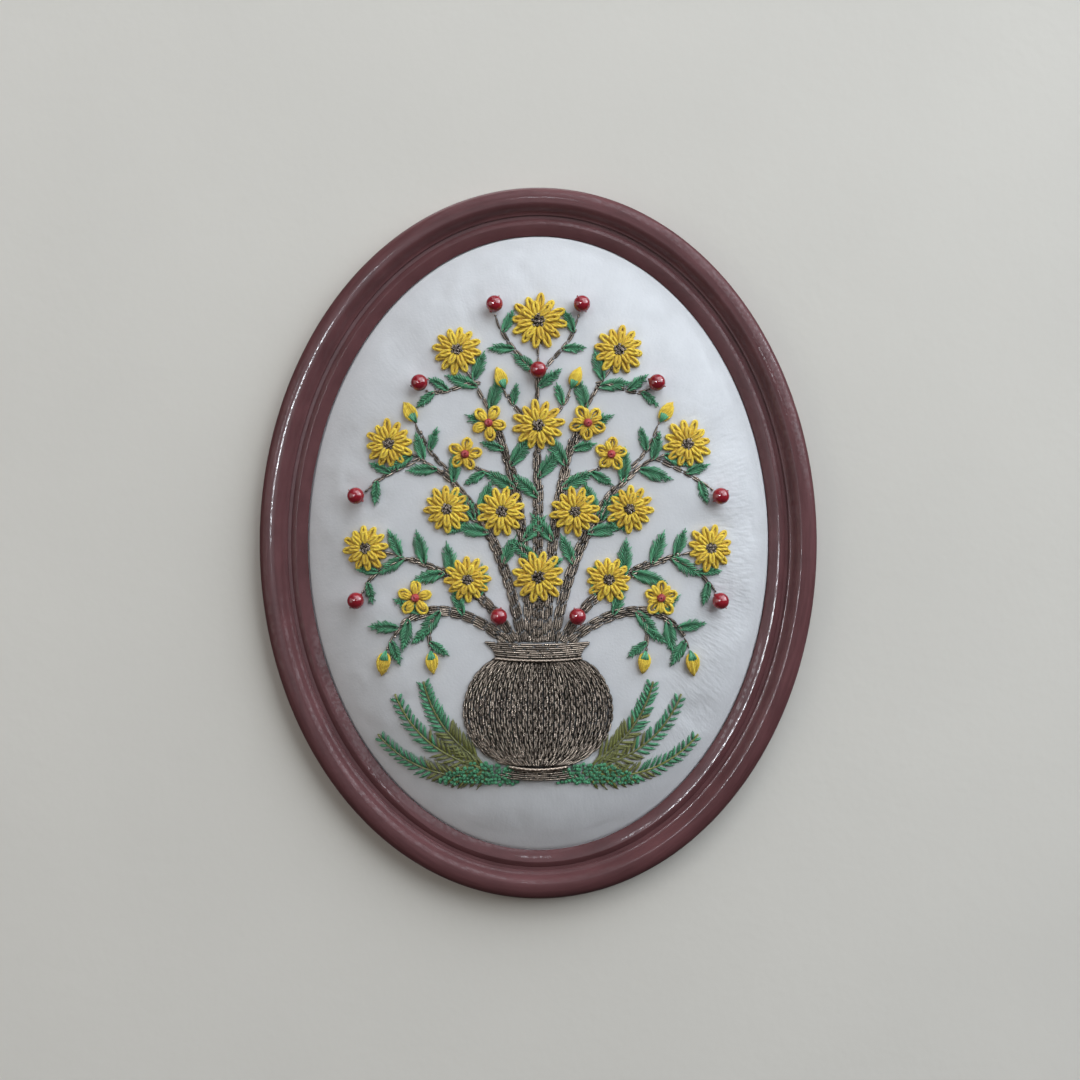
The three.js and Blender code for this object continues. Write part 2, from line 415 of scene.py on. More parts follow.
def cloth_depth(across, up):
    """The crown's depth forward of the frame's back, with soft troughs where it is drawn in."""
    share = np.minimum(oval_share(across, up), 1)
    turn = oval_turn(across, up)
    band = np.clip((share - PULL_START_SHARE) / (1 - PULL_START_SHARE), 0, 1)
    drawn = np.zeros_like(share)
    for pull in PULLS:
        drawn += pull.depth * np.exp(-((degrees_apart(turn, pull.turn) / pull.spread) ** 2))
    inside = (1 - share) * HALF_WIDTH
    fullest = np.exp(-((degrees_apart(turn, RIM_ROLL_TURN) / RIM_ROLL_SPREAD) ** 2))
    roll = RIM_ROLL * (RIM_ROLL_LEAST + (1 - RIM_ROLL_LEAST) * fullest)
    roll = roll * (1 - np.exp(-inside / RIM_ROLL_START)) * np.exp(-inside / RIM_ROLL_FADE)
    return RIM_DEPTH + CROWN_RISE * (1 - share ** CROWN_POWER) + roll - drawn * np.sin(np.pi * band)


def on_cloth(across, up, lift):
    """Places that stand lift above the cloth, and the cloth's outward normals there."""
    step = SLOPE_STEP
    slope_across = (cloth_depth(across + step, up) - cloth_depth(across - step, up)) / (2 * step)
    slope_up = (cloth_depth(across, up + step) - cloth_depth(across, up - step)) / (2 * step)
    normal = np.stack((-slope_across, -np.ones_like(slope_across), -slope_up), axis=-1)
    normal /= np.linalg.norm(normal, axis=-1, keepdims=True)
    foot = np.stack((across, -cloth_depth(across, up), up), axis=-1)
    return foot + lift[..., None] * normal, normal


def over_cloth(places):
    """Spots on the cloth under some places, their heights above it, and its normals there."""
    under = places[..., [0, 2]]
    for nearer in range(FOOT_TRIES):
        foot, normal = on_cloth(under[..., 0], under[..., 1], np.zeros(under.shape[:-1]))
        height = np.sum((places - foot) * normal, axis=-1)
        under = under + (places - foot - height[..., None] * normal)[..., [0, 2]]
    return under, height, normal


def unit(vectors):
    return vectors / np.maximum(np.linalg.norm(vectors, axis=-1, keepdims=True), 1e-9)


def bezier(route, shares):
    """Places along a cubic curve, and the headings there in radians."""
    start, lead, trail, end = (np.array(point, float) for point in route)
    t = np.asarray(shares, float)[..., None]
    rest = 1 - t
    place = rest ** 3 * start + 3 * rest ** 2 * t * lead + 3 * rest * t ** 2 * trail + t ** 3 * end
    slope = 3 * rest ** 2 * (lead - start) + 6 * rest * t * (trail - lead) + 3 * t ** 2 * (end - trail)
    return place, np.arctan2(slope[..., 1], slope[..., 0])


def route_length(route):
    place = bezier(route, np.linspace(0, 1, ROUTE_POINTS))[0]
    return float(np.linalg.norm(np.diff(place, axis=0), axis=1).sum())


def mirrored(route):
    return tuple((-across, up) for across, up in route)


def both_sides(rows):
    """Each stem or twig, and its twin on the left."""
    for row in rows:
        yield row.route, row.leaves
        if row.twin:
            yield mirrored(row.route), tuple((share, -side, size) for share, side, size in row.leaves)


def spots(flowers):
    """Each flower's place and radius, with its twin on the left where it stands off the middle."""
    for flower in flowers:
        yield flower.across, flower.up, flower.radius
        if flower.across:
            yield -flower.across, flower.up, flower.radius


def direction(angle):
    return np.stack((np.cos(angle), np.sin(angle)), axis=-1)


class Sewing:
    """Gathers threads laid on the cloth into one mesh, with a UV and a tone for each thread."""

    def __init__(self, seed, spread=TONE_SPREAD):
        self.random = np.random.default_rng(seed)
        self.spread = spread
        self.places = []
        self.faces = []
        self.wraps = []
        self.tones = []
        self.count = 0

    def lay(self, path, lift, radius, sides=6, flat=1.0, plies=0, pitch=3.0, tone=0.5):
        """Lays threads: path is (threads, rings, 2), and lift and radius fit (threads, rings)."""
        path = np.asarray(path, float)
        threads, rings = path.shape[:2]
        lift = np.broadcast_to(lift, (threads, rings))
        radius = np.broadcast_to(radius, (threads, rings))
        centre, normal = on_cloth(path[..., 0], path[..., 1], lift)
        along = unit(np.gradient(centre, axis=1))
        side = unit(np.cross(along, normal))
        top = np.cross(side, along)
        angle = 2 * np.pi * np.arange(sides) / sides
        ring = np.cos(angle)[:, None] * side[..., None, :]
        ring = ring + flat * np.sin(angle)[:, None] * top[..., None, :]
        steps = np.linalg.norm(np.diff(centre, axis=1), axis=-1)
        length = np.concatenate((np.zeros((threads, 1)), np.cumsum(steps, axis=1)), axis=1)
        radius = np.broadcast_to(radius[..., None], (threads, rings, sides))
        if plies:
            twist = plies * angle - 2 * np.pi * plies * length[..., None] / pitch
            twist = twist + self.random.uniform(0, 6, (threads, 1, 1))
            radius = radius * (1 + PLY_DEPTH * np.cos(twist))
        place = centre[..., None, :] + radius[..., None] * ring
        index = np.arange(threads * rings * sides).reshape(threads, rings, sides)
        beside = np.roll(index, -1, axis=2)
        quads = np.stack((index[:, :-1], index[:, 1:], beside[:, 1:], beside[:, :-1]), axis=-1)
        near = np.broadcast_to(length[:, :-1, None], quads.shape[:-1])
        far = np.broadcast_to(length[:, 1:, None], quads.shape[:-1])
        low = np.broadcast_to(np.arange(sides) / sides, quads.shape[:-1])
        high = low + 1 / sides
        wrap = np.stack((near, low, far, low, far, high, near, high), axis=-1)
        self.add(quads.reshape(-1, 4), wrap.reshape(-1, 4, 2))
        for pair in range(1, sides // 2):
            rim = (0, 2 * pair - 1, 2 * pair, 2 * pair + 1)
            for end, corners in ((0, rim), (-1, rim[::-1])):
                cap_wrap = np.zeros((threads, 4, 2))
                cap_wrap[..., 0] = length[:, end, None]
                self.add(index[:, end][:, corners], cap_wrap)

        self.places.append(place.reshape(-1, 3))
        spread = self.random.uniform(0, 1, threads)
        tone = np.clip(tone + self.spread * (spread - 0.5), 0, 1)
        self.tones.append(np.repeat(tone, rings * sides))
        self.count += threads * rings * sides

    def add(self, quads, wrap):
        self.faces.append(quads + self.count)
        self.wraps.append(wrap)

    def stitches(self, starts, ends, lift, radius, flat=0.7, rings=6, arch=0.35, tone=0.5):
        """Lays straight stitches that rise from the cloth, arch over and go down again."""
        share = 0.5 - 0.5 * np.cos(np.pi * np.linspace(0, 1, rings))
        swell = np.sin(np.pi * share) ** 0.6
        starts = np.asarray(starts, float)[:, None, :]
        ends = np.asarray(ends, float)[:, None, :]
        path = starts + (ends - starts) * share[:, None]
        lift = np.reshape(lift, (-1, 1)) if np.ndim(lift) else lift
        rise = lift * swell + arch * np.sin(np.pi * share)
        radius = radius * (STITCH_TAPER + (1 - STITCH_TAPER) * swell)
        self.lay(path, rise, radius, flat=flat, tone=tone)

    def knots(self, places, lift, size, turns=1.7, rings=12, sides=6):
        """Lays small coiled knots of about the given size across."""
        places = np.asarray(places, float)[:, None, :]
        share = np.linspace(0, 1, rings)
        angle = self.random.uniform(0, 2 * np.pi, (len(places), 1)) + 2 * np.pi * turns * share
        size = np.reshape(size, (-1, 1))
        lift = np.reshape(lift, (-1, 1))
        coil = size * KNOT_COIL * (1 - KNOT_CLOSING * share ** 3)
        path = places + coil[..., None] * direction(angle)
        self.lay(path, lift + size * (KNOT_FOOT + KNOT_RISE * share), size * KNOT_THREAD, sides)

    def piece(self, name, material, slot):
        """Makes the mesh object from all the threads laid so far."""
        mesh = bpy.data.meshes.new(name)
        place = np.concatenate(self.places) * MM + OVAL_ORIGIN
        mesh.from_pydata(place.tolist(), [], np.concatenate(self.faces).tolist())
        wrap = mesh.uv_layers.new(name="Thread")
        wrap.data.foreach_set("uv", np.concatenate(self.wraps).astype(np.float32).ravel())
        tone = mesh.attributes.new("tone", "FLOAT", "POINT")
        tone.data.foreach_set("value", np.concatenate(self.tones).astype(np.float32))
        mesh.shade_smooth()
        made = bpy.data.objects.new(name, mesh)
        bpy.context.scene.collection.objects.link(made)
        finish_piece(made, material, slot)
        return made


def finish_piece(made, material, slot, *nodes):
    """Gives a piece its material and body, and hides the CAD nodes that it stands for; its slot is not
    used.
    """
    made.data.materials.clear()
    made.data.materials.append(material)
    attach(made, BODY)
    if nodes:
        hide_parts(*nodes)


def rename(made, name):
    made.name = name
    made.data.name = name


def deselect_all():
    if bpy.context.object and bpy.context.object.mode != "OBJECT":
        bpy.ops.object.mode_set(mode="OBJECT")
    bpy.ops.object.select_all(action="DESELECT")


def select_only(made):
    deselect_all()
    made.select_set(True)
    bpy.context.view_layer.objects.active = made


def face_outwards(made):
    select_only(made)
    bpy.ops.object.mode_set(mode="EDIT")
    bpy.ops.mesh.select_all(action="SELECT")
    bpy.ops.mesh.remove_doubles(threshold=1e-6)
    bpy.ops.mesh.normals_make_consistent(inside=False)
    bpy.ops.object.mode_set(mode="OBJECT")


def mesh_places(mesh):
    place = np.empty(len(mesh.vertices) * 3)
    mesh.vertices.foreach_get("co", place)
    return place.reshape(-1, 3)


def set_mesh_places(mesh, place):
    mesh.vertices.foreach_set("co", place.ravel())
    mesh.update()


def make_node(tree, kind, inputs=None, **settings):
    """Adds a shader node; an input is a socket to link or a value to set."""
    node = tree.nodes.new(kind)
    for name, value in settings.items():
        setattr(node, name, value)
    for name, value in (inputs or {}).items():
        if isinstance(value, bpy.types.NodeSocket):
            tree.links.new(value, node.inputs[name])
        else:
            node.inputs[name].default_value = value
    return node


def math_node(tree, operation, first, second=0.0):
    return make_node(tree, "ShaderNodeMath", {0: first, 1: second}, operation=operation).outputs[0]


def noise_node(tree, place, scale, detail):
    inputs = {"Vector": place, "Scale": scale, "Detail": detail}
    return make_node(tree, "ShaderNodeTexNoise", inputs).outputs[0]


def attribute_node(tree, name, output):
    return make_node(tree, "ShaderNodeAttribute", attribute_name=name).outputs[output]


def two_tone(tree, shader, share, dark, light):
    """Colours a shader from dark to light by a share."""
    first, second, result = 6, 7, 2
    mix = make_node(tree, "ShaderNodeMix", {"Factor": share}, data_type="RGBA")
    mix.inputs[first].default_value = (*dark, 1)
    mix.inputs[second].default_value = (*light, 1)
    tree.links.new(mix.outputs[result], shader.inputs["Base Color"])


def darker(colour, share):
    return [share * part for part in colour]


def remap(tree, value, low, high, new_low=0.0, new_high=1.0):
    inputs = {"Value": value, "From Min": low, "From Max": high, "To Min": new_low, "To Max": new_high}
    return make_node(tree, "ShaderNodeMapRange", inputs).outputs["Result"]


def new_material(name, **sockets):
    """A material with one Principled shader, whose even values are set on its own sockets."""
    material = bpy.data.materials.new(name)
    material.use_nodes = True
    tree = material.node_tree
    shader = tree.nodes["Principled BSDF"]
    for socket, value in sockets.items():
        shader.inputs[socket.replace("_", " ")].default_value = value
    return material, tree, shader


def new_group(name, inputs, outputs):
    """A shader node group with float inputs and outputs."""
    group = bpy.data.node_groups.new(name, "ShaderNodeTree")
    for socket, value in inputs.items():
        made = group.interface.new_socket(socket, in_out="INPUT", socket_type="NodeSocketFloat")
        made.default_value = value
    for socket in outputs:
        group.interface.new_socket(socket, in_out="OUTPUT", socket_type="NodeSocketFloat")
    return group, group.nodes.new("NodeGroupInput").outputs, group.nodes.new("NodeGroupOutput").inputs


def thread_lay_group():
    """The fine strands wound along a thread, how light each thread came out of the dye, and painted shade
    in the grooves between its strands and on its underside.
    """
    if "Thread Lay" in bpy.data.node_groups:
        return bpy.data.node_groups["Thread Lay"]
    group, given, result = new_group(
        "Thread Lay", {"Strands": 4.0, "Turns per mm": 0.4, "Unevenness": 0.5, "Crevice": 0.3},
        ("Height", "Light"))
    wrap = make_node(group, "ShaderNodeUVMap", uv_map="Thread").outputs[0]
    split = make_node(group, "ShaderNodeSeparateXYZ", {0: wrap}).outputs
    around = math_node(group, "MULTIPLY", split["Y"], given["Strands"])
    along = math_node(group, "MULTIPLY", split["X"], given["Turns per mm"])
    place = make_node(group, "ShaderNodeTexCoord").outputs["Object"]
    wander = math_node(group, "MULTIPLY", noise_node(group, place, 700.0, 2.0), given["Unevenness"])
    turn = math_node(group, "ADD", math_node(group, "ADD", around, along), wander)
    wave = math_node(group, "SINE", math_node(group, "MULTIPLY", turn, 2 * math.pi))
    height = remap(group, wave, -1.0, 1.0)
    tone = attribute_node(group, "tone", "Fac")
    # Painted shade: lighter on the strands' ridges and darker in the grooves between them
    ridge = math_node(group, "MULTIPLY", height, 0.35)
    light = math_node(group, "ADD", ridge, math_node(group, "MULTIPLY", tone, 0.65))
    # Painted shade: each thread darkens from its top towards its underside and flanks, by the given share
    from_top = math_node(group, "MULTIPLY", math_node(group, "SUBTRACT", split["Y"], 0.25), 2 * math.pi)
    under = remap(group, math_node(group, "COSINE", from_top), 1.0, 0.65)
    shade = math_node(group, "MULTIPLY", under, given["Crevice"])
    light = math_node(group, "MULTIPLY", light, math_node(group, "SUBTRACT", 1.0, shade))
    group.links.new(height, result["Height"])
    group.links.new(light, result["Light"])
    return group


def mottle_group():
    """A soft uneven mask and a fine grain, at given sizes."""
    if "Mottle" in bpy.data.node_groups:
        return bpy.data.node_groups["Mottle"]
    group, given, result = new_group(
        "Mottle", {"Patch Scale": 60.0, "Grain Scale": 900.0}, ("Patches", "Grain"))
    place = make_node(group, "ShaderNodeTexCoord").outputs["Object"]
    patch = noise_node(group, place, given["Patch Scale"], 3.0)
    grain = noise_node(group, place, given["Grain Scale"], 2.0)
    group.links.new(remap(group, patch, 0.3, 0.7), result["Patches"])
    group.links.new(grain, result["Grain"])
    return group


def use_group(tree, group, **values):
    node = tree.nodes.new("ShaderNodeGroup")
    node.node_tree = group
    for name, value in values.items():
        node.inputs[name.replace("_", " ")].default_value = value
    return node.outputs


def bump(tree, shader, height, distance):
    node = make_node(tree, "ShaderNodeBump", {"Height": height, "Distance": distance, "Strength": 1.0})
    tree.links.new(node.outputs["Normal"], shader.inputs["Normal"])


def thread_material(name, dark, light, strands, turns, ridge, painted_shade, **sockets):
    """A dyed or metal thread: its dye's light and dark tones, painted shade in the grooves between its
    strands and on its underside, and their fine ridges.
    """
    material, tree, shader = new_material(name, **sockets)
    lay = use_group(tree, thread_lay_group(), Strands=strands, Turns_per_mm=turns, Crevice=painted_shade)
    two_tone(tree, shader, lay["Light"], dark, light)
    bump(tree, shader, lay["Height"], ridge * MM)
    return material


def yarn_material(threads):
    return thread_material(
        "Yellow yarn", threads.amber, threads.yellow, strands=3, turns=0.45, ridge=0.16,
        painted_shade=0.35, Roughness=0.8, Sheen_Weight=0.25)


def floss_material(name, dark, light):
    return thread_material(
        name, dark, light, strands=6, turns=0.12, ridge=0.07, painted_shade=0.6, Roughness=0.48,
        Sheen_Weight=0.15)


def metal_material(threads):
    material = thread_material(
        "Metal thread", threads.tarnish_and_shade_bronze, threads.bronze, strands=1, turns=2.6, ridge=0.10,
        painted_shade=0.95, Metallic=1.0, Roughness=0.32)
    tree = material.node_tree
    mottle = use_group(tree, mottle_group(), Patch_Scale=420.0, Grain_Scale=1500.0)
    shader = tree.nodes["Principled BSDF"]
    tree.links.new(remap(tree, mottle["Patches"], 0.0, 1.0, 0.2, 0.45), shader.inputs["Roughness"])
    return material


def bead_material(threads):
    """Deep red glass, a little cloudy inside and bright on top."""
    material, tree, shader = new_material(
        "Red glass", Roughness=0.07, Coat_Weight=0.5, Coat_Roughness=0.03, Subsurface_Weight=0.2,
        Subsurface_Radius=(0.002, 0.0004, 0.0004), Subsurface_Scale=1.0)
    mottle = use_group(tree, mottle_group(), Patch_Scale=380.0, Grain_Scale=1600.0)
    two_tone(tree, shader, mottle["Patches"], darker(threads.bead, 0.62), threads.bead)
    bump(tree, shader, mottle["Patches"], 0.02 * MM)
    return material


def lacquer_material(settings):
    """Stained wood under lacquer: grain that runs round the moulding and a slightly uneven gloss."""
    material, tree, shader = new_material(
        "Stained lacquer", Roughness=0.42, Coat_Weight=0.2, Coat_Roughness=0.09,
        Specular_IOR_Level=0.12)
    streak = noise_node(tree, attribute_node(tree, "grain", "Vector"), 1.0, 4.0)
    mottle = use_group(tree, mottle_group(), Patch_Scale=55.0, Grain_Scale=700.0)
    patches = math_node(tree, "MULTIPLY", mottle["Patches"], 0.4)
    share = math_node(tree, "ADD", patches, remap(tree, streak, 0.35, 0.8, 0.0, 0.6))
    two_tone(tree, shader, share, settings.dark_stain, settings.stain)
    tree.links.new(remap(tree, mottle["Grain"], 0.3, 0.7, 0.36, 0.5), shader.inputs["Roughness"])
    tree.links.new(remap(tree, mottle["Grain"], 0.42, 0.6, 0.04, 0.32), shader.inputs["Coat Weight"])
    height = math_node(tree, "ADD", mottle["Grain"], math_node(tree, "MULTIPLY", streak, 0.5))
    bump(tree, shader, height, 0.06 * MM)
    return material


def cloth_material(settings):
    """White crepe: a fine crinkle all over, and short ripples where it is drawn in near its rim."""
    material, tree, shader = new_material("White crepe", Roughness=0.82, Sheen_Weight=0.2)
    mottle = use_group(tree, mottle_group(), Patch_Scale=130.0, Grain_Scale=1050.0)
    two_tone(tree, shader, mottle["Patches"], darker(settings.colour, 0.93), settings.colour)
    wrap = make_node(tree, "ShaderNodeUVMap", uv_map="Cloth").outputs[0]
    stretched = make_node(tree, "ShaderNodeMapping", {"Vector": wrap, "Scale": RIPPLE_SCALE})
    ripple = noise_node(tree, stretched.outputs[0], 1.0, 1.0)
    ripple = math_node(tree, "MULTIPLY", ripple, attribute_node(tree, "pucker", "Fac"))
    ripple = math_node(tree, "MULTIPLY", ripple, settings.pucker_height / MM)
    crepe = math_node(tree, "MULTIPLY", mottle["Grain"], settings.crepe_height / MM)
    bump(tree, shader, math_node(tree, "ADD", ripple, crepe), MM)
    return material


def wall_material(settings):
    """Pale plaster that shows its front only, so that the back of the frame can be seen from behind."""
    material, tree, shader = new_material("Pale plaster", Roughness=0.9)
    mottle = use_group(tree, mottle_group(), Patch_Scale=9.0, Grain_Scale=160.0)
    two_tone(tree, shader, mottle["Patches"], darker(settings.wall, 0.96), settings.wall)
    bump(tree, shader, mottle["Grain"], 0.12 * MM)
    behind = make_node(tree, "ShaderNodeNewGeometry").outputs["Backfacing"]
    clear = tree.nodes.new("ShaderNodeBsdfTransparent").outputs[0]
    shown = make_node(tree, "ShaderNodeMixShader", {0: behind, 1: shader.outputs[0], 2: clear})
    tree.links.new(shown.outputs[0], tree.nodes["Material Output"].inputs["Surface"])
    return material


def round_over(start, end, rises_first, fullness):
    """Points of a round-over after its start; fullness 2 gives a quarter of an ellipse."""
    points = []
    for step in range(1, ARC_STEPS + 1):
        angle = step / ARC_STEPS * math.pi / 2
        slow = 1 - max(math.cos(angle), 0) ** (2 / fullness)
        fast = math.sin(angle) ** (2 / fullness)
        across, up = (slow, fast) if rises_first else (fast, slow)
        points.append((start[0] + (end[0] - start[0]) * across, start[1] + (end[1] - start[1]) * up))
    return points


def bend(start, control, end):
    """Points of a quadratic curve, without its start."""
    points = []
    for step in range(1, ARC_STEPS + 1):
        t = step / ARC_STEPS
        weighted = (((1 - t) ** 2, start), (2 * (1 - t) * t, control), (t ** 2, end))
        points.append(tuple(sum(weight * point[axis] for weight, point in weighted) for axis in (0, 1)))
    return points


def moulding_section():
    """The moulding's closed outline as (reach, depth), from the rebate over the face to the back."""
    beading = (BEADING_REACH, BEADING_DEPTH)
    crest = (CREST_REACH, CREST_DEPTH)
    ogee = (OGEE_REACH, OGEE_DEPTH)
    outline = [
        (REBATE_WIDTH, 0),
        (REBATE_WIDTH, LIP_BACK_DEPTH),
        (LIP_EASE, LIP_BACK_DEPTH),
        (0, LIP_BACK_DEPTH + LIP_EASE),
        (0, SIGHT_DEPTH),
    ]
    outline += round_over((0, SIGHT_DEPTH), beading, True, BEADING_FULLNESS)
    outline += round_over(beading, (GROOVE_REACH, GROOVE_DEPTH), False, BEADING_FULLNESS)
    outline += [
        (FILLET_REACH, GROOVE_DEPTH),
        (FILLET_REACH, FILLET_DEPTH - ARRIS),
        (FILLET_REACH + ARRIS, FILLET_DEPTH),
    ]
    outline += bend((FILLET_REACH + ARRIS, FILLET_DEPTH), OGEE_HOLLOW, ogee)
    outline += bend(ogee, OGEE_SWELL, crest)
    outline += round_over(crest, (MOULDING_WIDTH, SIDE_DEPTH), False, CREST_FULLNESS)
    outline += [(MOULDING_WIDTH, BACK_CHAMFER), (MOULDING_WIDTH - BACK_CHAMFER, 0)]
    return outline


def section_curve(outline):
    """The section as a closed curve; a swept oval takes its negative X as outward."""
    data = bpy.data.curves.new("moulding section", "CURVE")
    spline = data.splines.new("POLY")
    spline.points.add(len(outline) - 1)
    for point, (reach, depth) in zip(spline.points, outline):
        point.co = (-reach * MM, depth * MM, 0, 1)
    spline.use_cyclic_u = True
    made = bpy.data.objects.new("moulding section", data)
    bpy.context.scene.collection.objects.link(made)
    return made


class EMBROIDERY_OT_frame(bpy.types.Operator):
    """Sweeps the moulding's section round the oval and finishes it in stained lacquer"""

    bl_idname = "embroidery.frame"
    bl_label = "Moulded Frame"

    def execute(self, context):
        section = section_curve(moulding_section())
        deselect_all()
        bpy.ops.curve.primitive_bezier_circle_add(
            radius=1, location=(CENTRE.x, 0, CENTRE.z), rotation=(math.pi / 2, 0, 0))
        oval = context.object
        oval.scale = (HALF_WIDTH * MM, HALF_HEIGHT * MM, 1)
        bpy.ops.object.transform_apply(location=False, rotation=False, scale=True)
        for point in oval.data.splines[0].bezier_points:
            point.radius = 1
        oval.data.resolution_u = OVAL_STEPS
        oval.data.twist_mode = "Z_UP"
        oval.data.bevel_mode = "OBJECT"
        oval.data.bevel_object = section
        bpy.ops.object.convert(target="MESH")
        bpy.ops.object.transform_apply(location=True, rotation=True, scale=True)
        made = context.object
        bpy.data.objects.remove(section)
        rename(made, "moulded_frame")
        face_outwards(made)
        self.waver(made.data)
        bpy.ops.object.shade_smooth_by_angle(angle=FRAME_CREASE)
        material = lacquer_material(context.scene.embroidery_frame)
        finish_piece(made, material, "lacquered_wood", "frame")
        return {"FINISHED"}

    def waver(self, mesh):
        """Lets the face waver a little, as handwork does, and notes which way the grain runs."""
        place = mesh_places(mesh)
        local = (place - OVAL_ORIGIN) / MM
        turn = np.arctan2(local[:, 0], local[:, 2])
        face = np.clip((-local[:, 1] - SIGHT_DEPTH) / (CREST_DEPTH - SIGHT_DEPTH), 0, 1)
        random = np.random.default_rng(5)
        drift = np.zeros(len(local))
        for count in WAVER_COUNTS:
            drift += np.sin(count * turn + random.uniform(0, 2 * np.pi)) / math.sqrt(count)
        place[:, 1] -= HAND_WAVER * MM * drift * face
        set_mesh_places(mesh, place)
        around = GRAIN_ROUND * np.stack((np.sin(turn), np.cos(turn)), axis=-1)
        across = GRAIN_ACROSS * oval_share(local[:, 0], local[:, 2]) + GRAIN_DEEP * local[:, 1]
        grain = np.concatenate((around, across[:, None]), axis=1)
        layer = mesh.attributes.new("grain", "FLOAT_VECTOR", "POINT")
        layer.data.foreach_set("vector", grain.astype(np.float32).ravel())


class EMBROIDERY_OT_cloth(bpy.types.Operator):
    """Draws the white cloth over its oval pad, with its turned-over margin behind"""

    bl_idname = "embroidery.cloth"
    bl_label = "Padded Cloth"

    def execute(self, context):
        rings = self.rings()
        ring, turn, faces = self.net(len(rings) - 1)
        share, reach, depth = np.array(rings).T[:, ring]
        across, up = oval_place(turn, share, reach)
        crown = ring <= CROWN_RINGS
        depth = np.where(crown, cloth_depth(across, up), depth) - self.gathers(turn, ring)
        place = np.stack((across, -depth, up), axis=-1) * MM + OVAL_ORIGIN
        mesh = bpy.data.meshes.new("embroidered_cloth")
        mesh.from_pydata(place.tolist(), [], faces)
        made = bpy.data.objects.new("embroidered_cloth", mesh)
        context.scene.collection.objects.link(made)
        self.wrap(mesh, turn, share, crown)
        face_outwards(made)
        slack = np.clip(np.minimum(share - SLACK_START_SHARE, 1 - share) / SLACK_EASE, 0, 1)
        self.settle(context, made, np.where(crown, slack ** 2 * (3 - 2 * slack), 0))
        finer = made.modifiers.new("Finer", "SUBSURF")
        finer.levels = 1
        finer.render_levels = 1
        bpy.ops.object.modifier_apply(modifier=finer.name)
        bpy.ops.object.shade_smooth()
        material = cloth_material(context.scene.embroidery_cloth)
        finish_piece(made, material, "white_cloth", "padded_cloth")
        return {"FINISHED"}

    def net(self, last):
        """Each point's ring and turn, and the faces: a net in a set order, with one point at each pole."""
        around = np.arange(CLOTH_SEGMENTS)
        beside = np.roll(around, -1)
        ring = np.concatenate(([0], np.repeat(np.arange(1, last), CLOTH_SEGMENTS), [last]))
        turn = (2 * np.pi * around / CLOTH_SEGMENTS + np.pi) % (2 * np.pi) - np.pi
        turn = np.concatenate(([0], np.tile(turn, last - 1), [0]))
        end = 1 + CLOTH_SEGMENTS * (last - 2)
        pole = np.full(CLOTH_SEGMENTS, end + CLOTH_SEGMENTS)
        faces = np.stack((0 * around, 1 + around, 1 + beside), axis=-1).tolist()
        for start in range(1, end, CLOTH_SEGMENTS):
            near = (start + beside, start + around)
            far = (start + CLOTH_SEGMENTS + around, start + CLOTH_SEGMENTS + beside)
            faces += np.stack((*near, *far), axis=-1).tolist()
        faces += np.stack((end + beside, end + around, pole), axis=-1).tolist()
        return ring, turn, faces

    def settle(self, context, made, slack):
        """Lets the slack band round the stitched middle settle under the padding's pressure."""
        start = mesh_places(made.data)
        made.vertex_groups.new(name="held").add(np.flatnonzero(slack == 0).tolist(), 1.0, "REPLACE")
        cloth = made.modifiers.new("Settle", "CLOTH")
        cloth.settings.vertex_group_mass = "held"
        cloth.settings.shrink_min = -SLACK
        cloth.settings.use_pressure = True
        cloth.settings.uniform_pressure_force = PAD_PRESSURE
        cloth.settings.effector_weights.gravity = 0
        cloth.settings.bending_stiffness = 0.02
        cloth.settings.mass = 0.05
        cloth.collision_settings.use_collision = False
        cloth.point_cache.frame_start = 1
        cloth.point_cache.frame_end = SETTLE_STEPS
        for step in range(1, SETTLE_STEPS + 1):
            context.scene.frame_set(step)
        bpy.ops.object.modifier_apply(modifier=cloth.name)
        context.scene.frame_set(1)
        moved = mesh_places(made.data) - start
        far = np.linalg.norm(moved, axis=1)
        moved *= (slack * np.minimum(1, SETTLE_CAP * MM / np.maximum(far, 1e-9)))[:, None]
        moved[:, 1] = np.maximum(moved[:, 1], -SETTLE_RISE * MM)
        set_mesh_places(made.data, start + moved)

    def rings(self):
        """Rings from the crown's top over the rim to the back's middle: share, reach and depth."""
        shares = [math.sin(math.pi / 2 * step / CROWN_RINGS) for step in range(CROWN_RINGS + 1)]
        rings = [(share, 0, RIM_DEPTH) for share in shares]
        back = CLOTH_BACK_DEPTH - MARGIN_THICKNESS
        rings.append((1, 0.5 * RIM_REACH, RIM_DEPTH))
        for edge, start in ((RIM_DEPTH - RIM_ROUND, 0), (back + RIM_ROUND, math.pi / 2)):
            for step in range(RIM_STEPS + 1):
                angle = start + step / RIM_STEPS * math.pi / 2
                reach = RIM_REACH - RIM_ROUND * (1 - math.sin(angle))
                rings.append((1, reach, edge + RIM_ROUND * math.cos(angle)))
        for inward in (0, 0.5 * MARGIN_WIDTH, MARGIN_WIDTH - MARGIN_EDGE):
            rings.append((1, -inward, back))
        rings.append((1, -MARGIN_WIDTH, CLOTH_BACK_DEPTH))
        rings += [(step / 4, -MARGIN_WIDTH, CLOTH_BACK_DEPTH) for step in (3, 2, 1, 0)]
        return rings

    def gathers(self, turn, ring):
        """Small gathers where the turned-over margin is drawn in behind."""
        drawn = sum(height * np.sin(count * turn + start) for height, count, start in GATHERS)
        return np.where(np.isin(ring, MARGIN_RINGS), drawn, 0)

